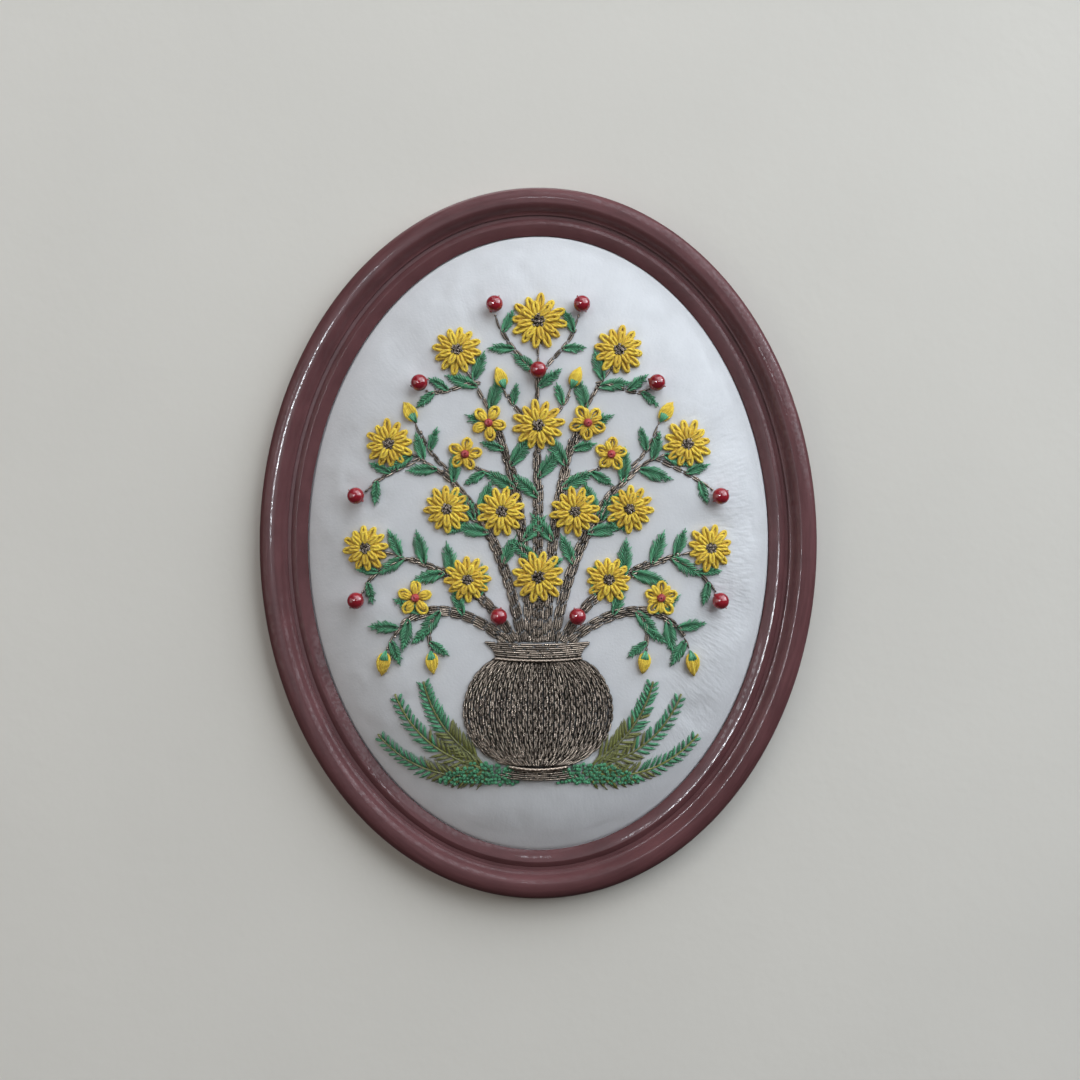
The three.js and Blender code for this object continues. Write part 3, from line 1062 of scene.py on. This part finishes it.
    def wrap(self, mesh, turn, share, crown):
        """Notes each place as turn and share, and how strongly the cloth ripples there."""
        corners = np.empty(len(mesh.loops), int)
        mesh.loops.foreach_get("vertex_index", corners)
        faces = np.repeat(np.arange(len(mesh.polygons)), [face.loop_total for face in mesh.polygons])
        middles = np.zeros(len(mesh.polygons))
        around = turn[corners]
        np.add.at(middles, faces, np.sin(around))
        around = np.where(np.abs(around) > SEAM_TURN, np.copysign(around, middles[faces]), around)
        layer = mesh.uv_layers.new(name="Cloth")
        places = np.stack((around / (2 * np.pi), share[corners]), axis=-1)
        layer.data.foreach_set("uv", places.astype(np.float32).ravel())
        begin = np.clip((share - PUCKER_BEGIN) / PUCKER_BEGIN_FADE, 0, 1)
        end = np.clip((PUCKER_END - share) / PUCKER_END_FADE, 0, 1)
        apart = degrees_apart(np.degrees(turn), PUCKER_TURN)
        side = PUCKER_LEAST + np.exp(-((apart / PUCKER_SPREAD) ** 2))
        pucker = np.where(crown, begin * end * side, 0)
        mark = mesh.attributes.new("pucker", "FLOAT", "POINT")
        mark.data.foreach_set("value", pucker.astype(np.float32))


def vase_half_width(up):
    """The vase's half width at a height, from its three outline curves."""
    shares = np.linspace(0, 1, CURVE_POINTS)
    curves = (VASE_FOOT, VASE_BODY, VASE_LIP)
    outline = np.concatenate([bezier(curve, shares)[0] for curve in curves])
    return np.interp(up, outline[:, 1], outline[:, 0])


class EMBROIDERY_OT_vase(bpy.types.Operator):
    """Fills the vase with short cut lengths of metal thread, and rims its lip and foot"""

    bl_idname = "embroidery.vase"
    bl_label = "Vase"

    def execute(self, context):
        threads = context.scene.embroidery_threads
        radius = threads.metal_radius / MM
        sewing = Sewing(11, METAL_TONE_SPREAD)
        self.body(sewing, 1.6 * radius, lift=0.3, shift=0.5, columns=VASE_COLUMNS // 2)
        self.body(sewing, radius, lift=0.95, shift=0.0, columns=VASE_COLUMNS)
        self.bands(sewing, radius, VASE_LIP)
        self.bands(sewing, radius, VASE_FOOT)
        for reach, up in (VASE_BODY[0], VASE_BODY[-1]):
            self.cord(sewing, reach, up)
        sewing.piece("vase_metal_thread", metal_material(threads), "metal_thread")
        return {"FINISHED"}

    def body(self, sewing, radius, lift, shift, columns):
        """Staggered lengths that follow the vase's swell from foot to neck."""
        low = VASE_BODY[0][1]
        high = VASE_BODY[-1][1]
        shares = np.linspace(0, 1, len(LENGTH_SWELL))
        paths = []
        lifts = []
        for column in range(columns):
            lean = (column + 0.5) / columns * 2 - 1
            up = low - VASE_STITCH * ((column * 0.5 + shift + sewing.random.uniform(0, 0.3)) % 1)
            while up < high:
                bottom = max(up, low)
                top = min(up + VASE_STITCH - LENGTH_GAP, high)
                up += VASE_STITCH
                crowded = vase_half_width((bottom + top) / 2) * 2 / columns < 1.5 * radius
                if top - bottom < 1.0 or (crowded and column % 2):
                    continue
                rise = bottom + (top - bottom) * shares
                across = lean * (vase_half_width(rise) - radius) + sewing.random.normal(0, 0.07)
                paths.append(np.stack((across, rise), axis=-1))
                lifts.append(lift + VASE_BULGE * (1 - lean ** 2) + sewing.random.uniform(-0.1, 0.1))
        lift = np.array(lifts)[:, None] - VASE_SINK * LENGTH_SINK
        sewing.lay(paths, lift, radius * LENGTH_SWELL)

    def bands(self, sewing, radius, curve):
        """Level rows of longer lengths that fill the lip or the foot."""
        low = curve[0][1]
        high = curve[-1][1]
        rows = round((high - low) / (ROW_PITCH * radius))
        shares = np.linspace(0, 1, 11)
        swell = np.clip(np.minimum(shares, 1 - shares) * 12, 0.45, 1)
        for row in range(rows):
            up = low + (row + 0.5) / rows * (high - low)
            reach = vase_half_width(up)
            cuts = np.arange(-reach - BAND_LENGTH / 2 * (row % 2), reach, BAND_LENGTH)
            for cut in cuts:
                start = max(cut, -reach)
                stop = min(cut + BAND_LENGTH - BAND_GAP, reach)
                if stop - start < 1.5:
                    continue
                across = start + (stop - start) * shares
                inward = 1 - (across / reach) ** 2
                path = np.stack((across, up - BAND_SAG * inward), axis=-1)
                sewing.lay(path[None], 0.55 + VASE_BULGE * inward, radius * swell)

    def cord(self, sewing, reach, up):
        """A twisted cord laid across the neck or over the foot."""
        past = reach + CORD_PAST
        across = np.linspace(-past, past, 90)
        inward = 1 - (across / past) ** 2
        path = np.stack((across, up - BAND_SAG * inward), axis=-1)
        ends = np.clip((past - np.abs(across)) / 0.6, 0.4, 1)
        lift = 1.3 + 1.2 * inward
        sewing.lay(path[None], lift, CORD_RADIUS * ends, sides=10, plies=2, pitch=CORD_PITCH)


class EMBROIDERY_OT_stems(bpy.types.Operator):
    """Couches the stems in rows of metal thread, and the thin twigs in single lengths"""

    bl_idname = "embroidery.stems"
    bl_label = "Stems and Twigs"

    def execute(self, context):
        threads = context.scene.embroidery_threads
        radius = threads.metal_radius / MM
        sewing = Sewing(12, METAL_TONE_SPREAD)
        aside = ROW_PITCH * radius
        for route, _ in both_sides(STEMS):
            for row, end in STEM_ROWS:
                self.couch(sewing, route, row * aside, end, radius, 0.75 - 0.1 * abs(row))
        for route, _ in both_sides(TWIGS):
            for row, end in TWIG_ROWS:
                self.couch(sewing, route, row * aside, end, 0.95 * radius, 0.4)
        sewing.piece("stem_metal_thread", metal_material(threads), "metal_thread")
        return {"FINISHED"}

    def couch(self, sewing, route, offset, end, radius, lift):
        """One row of lengths along a route, a little aside from it."""
        count = max(1, round(end * route_length(route) / STEM_STITCH))
        first = sewing.random.uniform(-0.5, 0)
        cuts = np.clip((np.arange(count + 2) + first) / count, 0, 1) * end
        for start, stop in zip(cuts[:-1], cuts[1:]):
            if stop - start < 0.01:
                continue
            shares = start + (stop - start) * np.linspace(0.02, 0.98, len(LENGTH_SWELL))
            place, heading = bezier(route, shares)
            aside = direction(heading + math.pi / 2)
            path = place + aside * (offset + sewing.random.normal(0, 0.06))
            sewing.lay(path[None], lift - LENGTH_SINK[None], radius * LENGTH_SWELL)


def leaf_stitches(random, base, heading, length, width):
    """Fishbone stitches of one leaf: slanted from its edge to its rib, from the base to the tip."""
    rows = max(3, round(length / LEAF_ROW))
    share = (np.arange(rows) + 0.35) / rows
    half = 0.5 * width * np.sin(np.pi * share ** 0.75) ** 0.9 + 0.2
    ahead = direction(heading)
    aside = direction(heading + math.pi / 2)
    starts = []
    ends = []
    for side in (1, -1):
        jag = random.normal(0, 0.24, rows) + 0.3 * np.where(np.arange(rows) % 3, -0.5, 1)
        edge = share * length + 0.65 * half + jag
        rib = share * length - 0.8 * half
        starts.append(base + edge[:, None] * ahead + (side * (half + 0.5 * jag))[:, None] * aside)
        ends.append(base + np.maximum(rib, 0)[:, None] * ahead + 0.2 * side * aside)
    starts.append((base + 1.1 * length * ahead)[None])
    ends.append((base + 0.7 * length * ahead)[None])
    return np.concatenate(starts), np.concatenate(ends)


class EMBROIDERY_OT_leaves(bpy.types.Operator):
    """Sews the leaves of the stems and twigs in slanted green floss"""

    bl_idname = "embroidery.leaves"
    bl_label = "Leaves"

    def execute(self, context):
        threads = context.scene.embroidery_threads
        radius = threads.floss_radius / MM
        sewing = Sewing(13)
        for route, leaves in [*both_sides(STEMS), *both_sides(TWIGS)]:
            for share, side, length in leaves:
                place, heading = bezier(route, share)
                lean = heading + side * LEAF_SPREAD + sewing.random.normal(0, 0.08)
                size = length * sewing.random.uniform(0.93, 1.08)
                width = LEAF_WIDTH_SHARE * size
                starts, ends = leaf_stitches(sewing.random, place, lean, size, width)
                self.underlay(sewing, place, lean, size, width)
                lift = sewing.random.uniform(0.5, 0.65) + sewing.random.uniform(0, 0.3, len(starts))
                shade = sewing.random.uniform(0.35, 0.7)
                sewing.stitches(starts, ends, lift, radius, flat=1.0, rings=5, tone=shade)
        material = floss_material("Green floss", threads.dark_green, threads.green)
        sewing.piece("leaf_stitches", material, "green_floss")
        return {"FINISHED"}

    def underlay(self, sewing, base, heading, length, width):
        """Stitches along the leaf that pad it and close the gaps between its strands, in the darkest tone
        as painted shade in those gaps.
        """
        ahead = length * direction(heading)
        aside = LEAF_PADDING[:, None] * width * direction(heading + math.pi / 2)
        start = base + aside + 0.1 * ahead
        end = base + 0.7 * aside + LEAF_PADDING_ENDS[:, None] * ahead
        sewing.stitches(start, end, 0.15, 0.42, flat=0.6, rings=5, arch=0.1, tone=-0.5)


class EMBROIDERY_OT_ferns(bpy.types.Operator):
    """Sews the ferns, olive low down and green above, and the knotted moss by the vase's foot"""

    bl_idname = "embroidery.ferns"
    bl_label = "Ferns and Moss"

    def execute(self, context):
        threads = context.scene.embroidery_threads
        olive = Sewing(14)
        green = Sewing(15)
        for route in FERNS:
            for way in (route, mirrored(route)):
                self.fern(olive, green, way, threads.floss_radius / MM)
        self.moss(green)
        material = floss_material("Olive floss", threads.dark_olive, threads.olive)
        olive.piece("fern_olive_stitches", material, "olive_floss")
        material = floss_material("Fern floss", threads.dark_green, threads.green)
        green.piece("fern_green_stitches", material, "green_floss")
        return {"FINISHED"}

    def fern(self, olive, green, route, radius):
        """One fern: its rib, and pairs of three-stitch leaflets that grow shorter to the tip."""
        rib = bezier(route, np.linspace(0, 1, CURVE_POINTS))[0]
        olive.lay(rib[None], 0.5, 0.42)
        for step in range(FERN_LEAFLETS):
            share = FERN_START + FERN_RUN * step / FERN_LEAFLETS
            place, heading = bezier(route, share)
            size = LEAFLET_LENGTH - LEAFLET_TAPER * share
            for side in (1, -1):
                sewing = olive if share + green.random.normal(0, 0.07) < FERN_OLIVE_SHARE else green
                lean = heading + side * FERN_SPREAD + sewing.random.normal(0, 0.07)
                ahead = direction(lean)
                aside = direction(lean + math.pi / 2)
                reach = size * LEAFLET_ENDS * sewing.random.uniform(0.93, 1.07, len(LEAFLET_ENDS))
                slide = LEAFLET_SLIDE[:, None] * aside
                starts = place + 0.45 * slide
                ends = place + reach[:, None] * ahead + 0.7 * slide
                shade = sewing.random.uniform(0.25, 0.75)
                sewing.stitches(starts, ends, LEAFLET_LIFT, radius, rings=5, tone=shade)

    def moss(self, green):
        """A low mound of knots on each side of the vase's foot."""
        for side in (1, -1):
            across, up = np.meshgrid(np.arange(*MOSS_ACROSS, MOSS_STEP), np.arange(*MOSS_UP, MOSS_STEP))
            across = across + green.random.normal(0, 0.3, across.shape)
            up = up + green.random.normal(0, 0.3, up.shape)
            crest = MOSS_FLOOR + MOSS_RISE * (1 - ((across - MOSS_MIDDLE) / MOSS_MIDDLE) ** 2)
            mound = up < crest + green.random.normal(0, 0.5, up.shape)
            places = np.stack((side * across[mound], up[mound]), axis=-1)
            lift = green.random.uniform(0.15, 0.6, len(places))
            green.knots(places, lift, green.random.uniform(1.5, 1.8, len(places)))


def petal_loops(centre, radius, petals, inner, width, turn):
    """Looped stitches round a flower's centre, each out from the middle, round its tip and back."""
    share = np.linspace(0, 1, LOOP_POINTS)
    out = inner + (radius - inner) * (0.5 - 0.5 * np.cos(2 * np.pi * share))
    aside = width * np.sin(2 * np.pi * share) * np.sin(np.pi * share) ** 0.4
    angle = turn + 2 * np.pi * np.arange(petals) / petals
    ahead = direction(angle)[:, None, :]
    beside = direction(angle + math.pi / 2)[:, None, :]
    return np.asarray(centre, float) + out[:, None] * ahead + aside[:, None] * beside


class EMBROIDERY_OT_flowers(bpy.types.Operator):
    """Sews the yellow flowers and buds in thick yarn, with knotted centres"""

    bl_idname = "embroidery.flowers"
    bl_label = "Flowers"

    def execute(self, context):
        threads = context.scene.embroidery_threads
        outer = Sewing(16)
        inner = Sewing(20)
        centres = Sewing(17, METAL_TONE_SPREAD)
        cups = Sewing(18)
        radius = threads.yarn_radius / MM
        for across, up, size in spots(DAISIES):
            self.ring(outer, (across, up), size, DAISY_PETALS, 0.30, 0.115, radius, 0.7)
            self.filling(outer, (across, up), 0.8 * size, radius)
            self.ring(inner, (across, up), 0.72 * size, DAISY_INNER_PETALS, 0.22, 0.13, radius, 1.7)
            self.centre(centres, (across, up), 0.26 * size)
        for across, up, size in spots(BLOSSOMS):
            self.ring(outer, (across, up), size, BLOSSOM_PETALS, 0.26, 0.27, radius, 0.7)
            self.ring(inner, (across, up), 0.8 * size, BLOSSOM_PETALS, 0.2, 0.1, radius, 1.0)
        for bud in BUDS:
            self.bud(inner, cups, bud.across, bud.up, bud.heading, bud.length, radius)
            self.bud(inner, cups, -bud.across, bud.up, math.pi - bud.heading, bud.length, radius)
        yarn = yarn_material(threads)
        outer.piece("outer_petals", yarn, "yellow_yarn")
        inner.piece("inner_petals", yarn, "yellow_yarn")
        centres.piece("flower_centres", metal_material(threads), "metal_thread")
        green = floss_material("Cup floss", threads.dark_green, threads.green)
        cups.piece("bud_cups", green, "green_floss")
        return {"FINISHED"}

    def ring(self, yarn, centre, size, petals, inner, width, radius, lift):
        """One round of looped petals, with the small differences of handwork."""
        turn = yarn.random.uniform(0, 2 * np.pi)
        loops = petal_loops(centre, size, petals, inner * size, width * size, turn)
        middle = np.asarray(centre, float)
        loops = middle + (loops - middle) * yarn.random.uniform(0.9, 1.06, (petals, 1, 1))
        share = np.linspace(0, 1, LOOP_POINTS)
        arch = lift * (0.55 + 0.45 * np.sin(np.pi * share)) + 0.55 * np.sin(2 * np.pi * share) ** 2
        arch = arch + yarn.random.uniform(-0.15, 0.2, (petals, 1))
        ends = np.clip(np.minimum(share, 1 - share) * 14, 0.35, 1)
        yarn.lay(loops, arch, radius * ends, sides=10, plies=3, pitch=YARN_PITCH)
        tips = 0.15 * loops[:, 0] + 0.85 * loops[:, LOOP_POINTS // 2]
        yarn.stitches(loops[:, 0], tips, lift, 0.8 * radius, flat=0.9, arch=0.15, tone=0.4)

    def filling(self, yarn, centre, size, radius):
        """Straight stitches under the outer loops, so that no cloth shows through them."""
        count = DAISY_PETALS * 2
        turns = 2 * np.pi * (np.arange(count) + yarn.random.uniform(0, 1)) / count
        starts = np.asarray(centre, float) + 0.25 * size * direction(turns)
        turns = turns + yarn.random.normal(0, 0.04, count)
        ends = np.asarray(centre, float) + size * direction(turns)
        yarn.stitches(starts, ends, 0.45, 0.9 * radius, flat=0.8, arch=0.2, tone=0.35)

    def centre(self, centres, centre, size):
        """A cushion of small dark knots in a spiral."""
        step = np.arange(CENTRE_KNOTS)
        reach = size * np.sqrt((step + 0.4) / CENTRE_KNOTS)
        angle = step * SPIRAL_STEP + centres.random.uniform(0, 6)
        places = np.asarray(centre, float) + reach[:, None] * direction(angle)
        centres.knots(places, 2.1 - 0.9 * (reach / size) ** 2, 1.6)

    def bud(self, yarn, cups, across, up, heading, length, radius):
        """A closed bud: a fan of yarn stitches from its cup, and green stitches over its base."""
        base = np.array((across, up))
        ahead = direction(heading)
        beside = direction(heading + math.pi / 2)
        share = np.linspace(0, 1, BUD_POINTS)
        spread = length * (0.42 * np.sin(np.pi * share ** 0.75) + 0.125 * share)
        paths = []
        for lean in BUD_LEANS:
            size = length * (1 - 0.35 * lean ** 2) * yarn.random.uniform(0.95, 1.05)
            out = share * size * math.cos(0.5 * lean)
            paths.append(base + out[:, None] * ahead + lean * spread[:, None] * beside)
        swell = np.clip(np.minimum(share, 1 - share) * 9, 0.4, 1)
        lift = 0.4 + 1.0 * np.sin(np.pi * share) + yarn.random.uniform(0, 0.3, (len(paths), 1))
        yarn.lay(paths, lift, radius * swell, sides=10, plies=3, pitch=YARN_PITCH)
        ends = base + 0.52 * length * direction(heading + CUP_LEANS)
        starts = np.broadcast_to(base - 0.9 * ahead, ends.shape)
        cups.stitches(starts, ends, 1.3, 0.55, arch=0.7)


class EMBROIDERY_OT_red_knots(bpy.types.Operator):
    """Ties the red knots of the small blossoms, and the threads that hold the beads"""

    bl_idname = "embroidery.red_knots"
    bl_label = "Red Knots"

    def execute(self, context):
        threads = context.scene.embroidery_threads
        sewing = Sewing(19)
        places = [(across, up) for across, up, _ in spots(BLOSSOMS)]
        sewing.knots(places, 0.9, 3.4, turns=2.3, rings=26, sides=8)
        for node, turn in zip(BEAD_NODES, BEAD_TURNS):
            low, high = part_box(node)
            middle = ((np.array(low) + np.array(high)) / 2 - OVAL_ORIGIN) / MM
            for way in (turn, turn + 180):
                across, up = direction(math.radians(way))
                self.bead_thread(sewing, middle, np.array((across, 0, up)))
        material = floss_material("Red floss", threads.dark_red, threads.red)
        sewing.piece("red_knots", material, "red_floss")
        return {"FINISHED"}

    def bead_thread(self, sewing, middle, bore):
        """The thread that comes out of a bead's bore and runs close round the bead into the cloth."""
        close = BEAD_RADIUS + BEAD_THREAD_RADIUS
        below = -over_cloth(middle)[2]
        aside = unit(np.cross(bore, below))
        angle = math.acos(bore @ below)
        share = np.linspace(0, 0.75, 8)[:, None]
        curve = np.sin((1 - share) * angle) * bore + np.sin(share * angle) * below
        hug = middle + close * curve / math.sin(angle) + 0.9 * share * aside
        end = hug[-1] + (over_cloth(hug[-1])[1] + 0.3) * below + 0.2 * aside
        stub = middle + np.array((0.8 * BEAD_RADIUS, BEAD_RADIUS, close))[:, None] * bore
        for line in (stub, np.concatenate((hug, end[None]))):
            spot, lift, _ = over_cloth(line)
            sewing.lay(spot[None], lift[None], BEAD_THREAD_RADIUS)


class EMBROIDERY_OT_beads(bpy.types.Operator):
    """Turns one bored glass bead and sets a copy of it at each bead's place"""

    bl_idname = "embroidery.beads"
    bl_label = "Beads"

    def execute(self, context):
        material = bead_material(context.scene.embroidery_threads)
        pattern = self.pattern(context)
        for node, turn in zip(BEAD_NODES, BEAD_TURNS):
            low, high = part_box(node)
            made = pattern.copy()
            made.data = pattern.data.copy()
            context.scene.collection.objects.link(made)
            rename(made, node.replace("bead", "red_bead"))
            made.location = (low + high) / 2
            made.rotation_euler = Euler((0, math.pi / 2 - math.radians(turn), 0))
            select_only(made)
            bpy.ops.object.transform_apply(location=True, rotation=True, scale=True)
            finish_piece(made, material, "red_bead", node)
        bpy.data.objects.remove(pattern)
        return {"FINISHED"}

    def pattern(self, context):
        """One bead about the Z axis: a ball opened at its poles, with its bore bridged between them."""
        deselect_all()
        bpy.ops.mesh.primitive_uv_sphere_add(
            segments=BEAD_SEGMENTS, ring_count=BEAD_RINGS, radius=BEAD_RADIUS * MM)
        made = context.object
        mouth = math.sqrt(BEAD_RADIUS ** 2 - BEAD_BORE_RADIUS ** 2) * MM
        bpy.ops.object.mode_set(mode="EDIT")
        bpy.ops.mesh.select_all(action="DESELECT")
        bpy.ops.mesh.select_mode(type="VERT")
        bpy.ops.object.mode_set(mode="OBJECT")
        for vertex in made.data.vertices:
            vertex.select = abs(vertex.co.z) > mouth
        bpy.ops.object.mode_set(mode="EDIT")
        bpy.ops.mesh.delete(type="VERT")
        bpy.ops.mesh.select_non_manifold()
        bpy.ops.mesh.bridge_edge_loops()
        bpy.ops.object.mode_set(mode="OBJECT")
        face_outwards(made)
        bpy.ops.object.shade_smooth_by_angle(angle=BEAD_CREASE)
        return made


class EMBROIDERY_OT_stage(bpy.types.Operator):
    """Sets the camera straight in front, a pale wall and floor, and soft light from the upper right"""

    bl_idname = "embroidery.stage"
    bl_label = "Stage"

    def execute(self, context):
        settings = context.scene.embroidery_stage
        material = wall_material(settings)
        self.plane("wall", material, (CENTRE.x, WALL_GAP, CENTRE.z), (math.pi / 2, 0, 0))
        self.plane("floor", material, (CENTRE.x, 0, CENTRE.z - FLOOR_DROP), (0, 0, 0))
        self.camera(context, settings)
        self.lights(context, settings)
        return {"FINISHED"}

    def plane(self, name, material, place, turn):
        deselect_all()
        bpy.ops.mesh.primitive_plane_add(size=PLANE_SIZE, location=place, rotation=turn)
        made = bpy.context.object
        rename(made, name)
        bpy.ops.object.transform_apply(location=True, rotation=True, scale=True)
        made.data.materials.append(material)
        for rays in ("diffuse", "glossy", "shadow", "transmission"):
            setattr(made, f"visible_{rays}", False)

    def camera(self, context, settings):
        data = bpy.data.cameras.new("camera")
        middle = FRAME_LOW.y / 2
        data.sensor_width = SENSOR_WIDTH
        data.lens = SENSOR_WIDTH * settings.camera_distance / settings.view_width
        made = bpy.data.objects.new("camera", data)
        away = Vector((CAMERA_ASIDE, middle - settings.camera_distance, CAMERA_ABOVE))
        made.location = Vector(OVAL_ORIGIN) + away
        made.rotation_euler = (math.pi / 2, 0, 0)
        context.scene.collection.objects.link(made)
        context.scene.camera = made

    def lights(self, context, settings):
        """Soft lights, the glints that only gloss shows, and the dim light of the room."""
        self.area(context, "key", (1.40, -1.033, 1.35), 2.7, settings.key_power, COOL_LIGHT)
        self.area(context, "ceiling", (0, -1.033, 1.942), 1.8, settings.ceiling_power, COOL_LIGHT)
        self.area(context, "left fill", (-1.725, -1.0, 0.151), 1.6, settings.fill_power, WARM_LIGHT)
        for glint in GLINTS:
            power = glint.share * settings.glint_power
            made = self.area(context, glint.name, glint.away, glint.size, power, COOL_LIGHT)
            made.visible_diffuse = False
        self.area(context, "rear fill", (-0.3, 0.8, 1.6), 1.2, settings.rear_power, PLAIN_LIGHT)
        world = bpy.data.worlds.new("soft room")
        world.use_nodes = True
        background = world.node_tree.nodes["Background"]
        background.inputs["Color"].default_value = ROOM_COLOUR
        background.inputs["Strength"].default_value = ROOM_STRENGTH
        context.scene.world = world
        context.scene.view_settings.view_transform = "Standard"

    def area(self, context, name, away, size, power, colour):
        """A square light, away from the oval's centre and turned to it."""
        away = Vector(away)
        data = bpy.data.lights.new(name, "AREA")
        data.energy = power
        data.size = size
        data.color = colour
        made = bpy.data.objects.new(name, data)
        made.location = Vector(OVAL_ORIGIN) + away
        made.rotation_euler = (-away).to_track_quat("-Z", "Y").to_euler()
        context.scene.collection.objects.link(made)
        return made


class EMBROIDERY_PT_panel(bpy.types.Panel):
    """Lists the steps of the framed embroidery"""

    bl_idname = "EMBROIDERY_PT_panel"
    bl_label = "Framed Embroidery"
    bl_space_type = "VIEW_3D"
    bl_region_type = "UI"
    bl_category = "Embroidery"

    def draw(self, context):
        for name, settings in SETTINGS.items():
            box = self.layout.box()
            box.label(text=settings.__doc__)
            for key in settings.__annotations__:
                box.prop(getattr(context.scene, name), key)
        for step in STEPS:
            self.layout.operator(step.bl_idname)


SETTINGS = {
    "embroidery_frame": FrameSettings,
    "embroidery_cloth": ClothSettings,
    "embroidery_threads": ThreadSettings,
    "embroidery_stage": StageSettings,
}
STEPS = (
    EMBROIDERY_OT_stage,
    EMBROIDERY_OT_frame,
    EMBROIDERY_OT_cloth,
    EMBROIDERY_OT_vase,
    EMBROIDERY_OT_stems,
    EMBROIDERY_OT_leaves,
    EMBROIDERY_OT_ferns,
    EMBROIDERY_OT_flowers,
    EMBROIDERY_OT_red_knots,
    EMBROIDERY_OT_beads,
)
CLASSES = (*SETTINGS.values(), *STEPS, EMBROIDERY_PT_panel)


def register():
    for made in CLASSES:
        bpy.utils.register_class(made)
    for name, settings in SETTINGS.items():
        setattr(bpy.types.Scene, name, PointerProperty(type=settings))


def unregister():
    for name in SETTINGS:
        delattr(bpy.types.Scene, name)
    for made in reversed(CLASSES):
        bpy.utils.unregister_class(made)


def main():
    register()
    bpy.ops.embroidery.stage()
    bpy.ops.embroidery.frame()
    bpy.ops.embroidery.cloth()
    bpy.ops.embroidery.vase()
    bpy.ops.embroidery.stems()
    bpy.ops.embroidery.leaves()
    bpy.ops.embroidery.ferns()
    bpy.ops.embroidery.flowers()
    bpy.ops.embroidery.red_knots()
    bpy.ops.embroidery.beads()


if __name__ == "__main__":
    main()
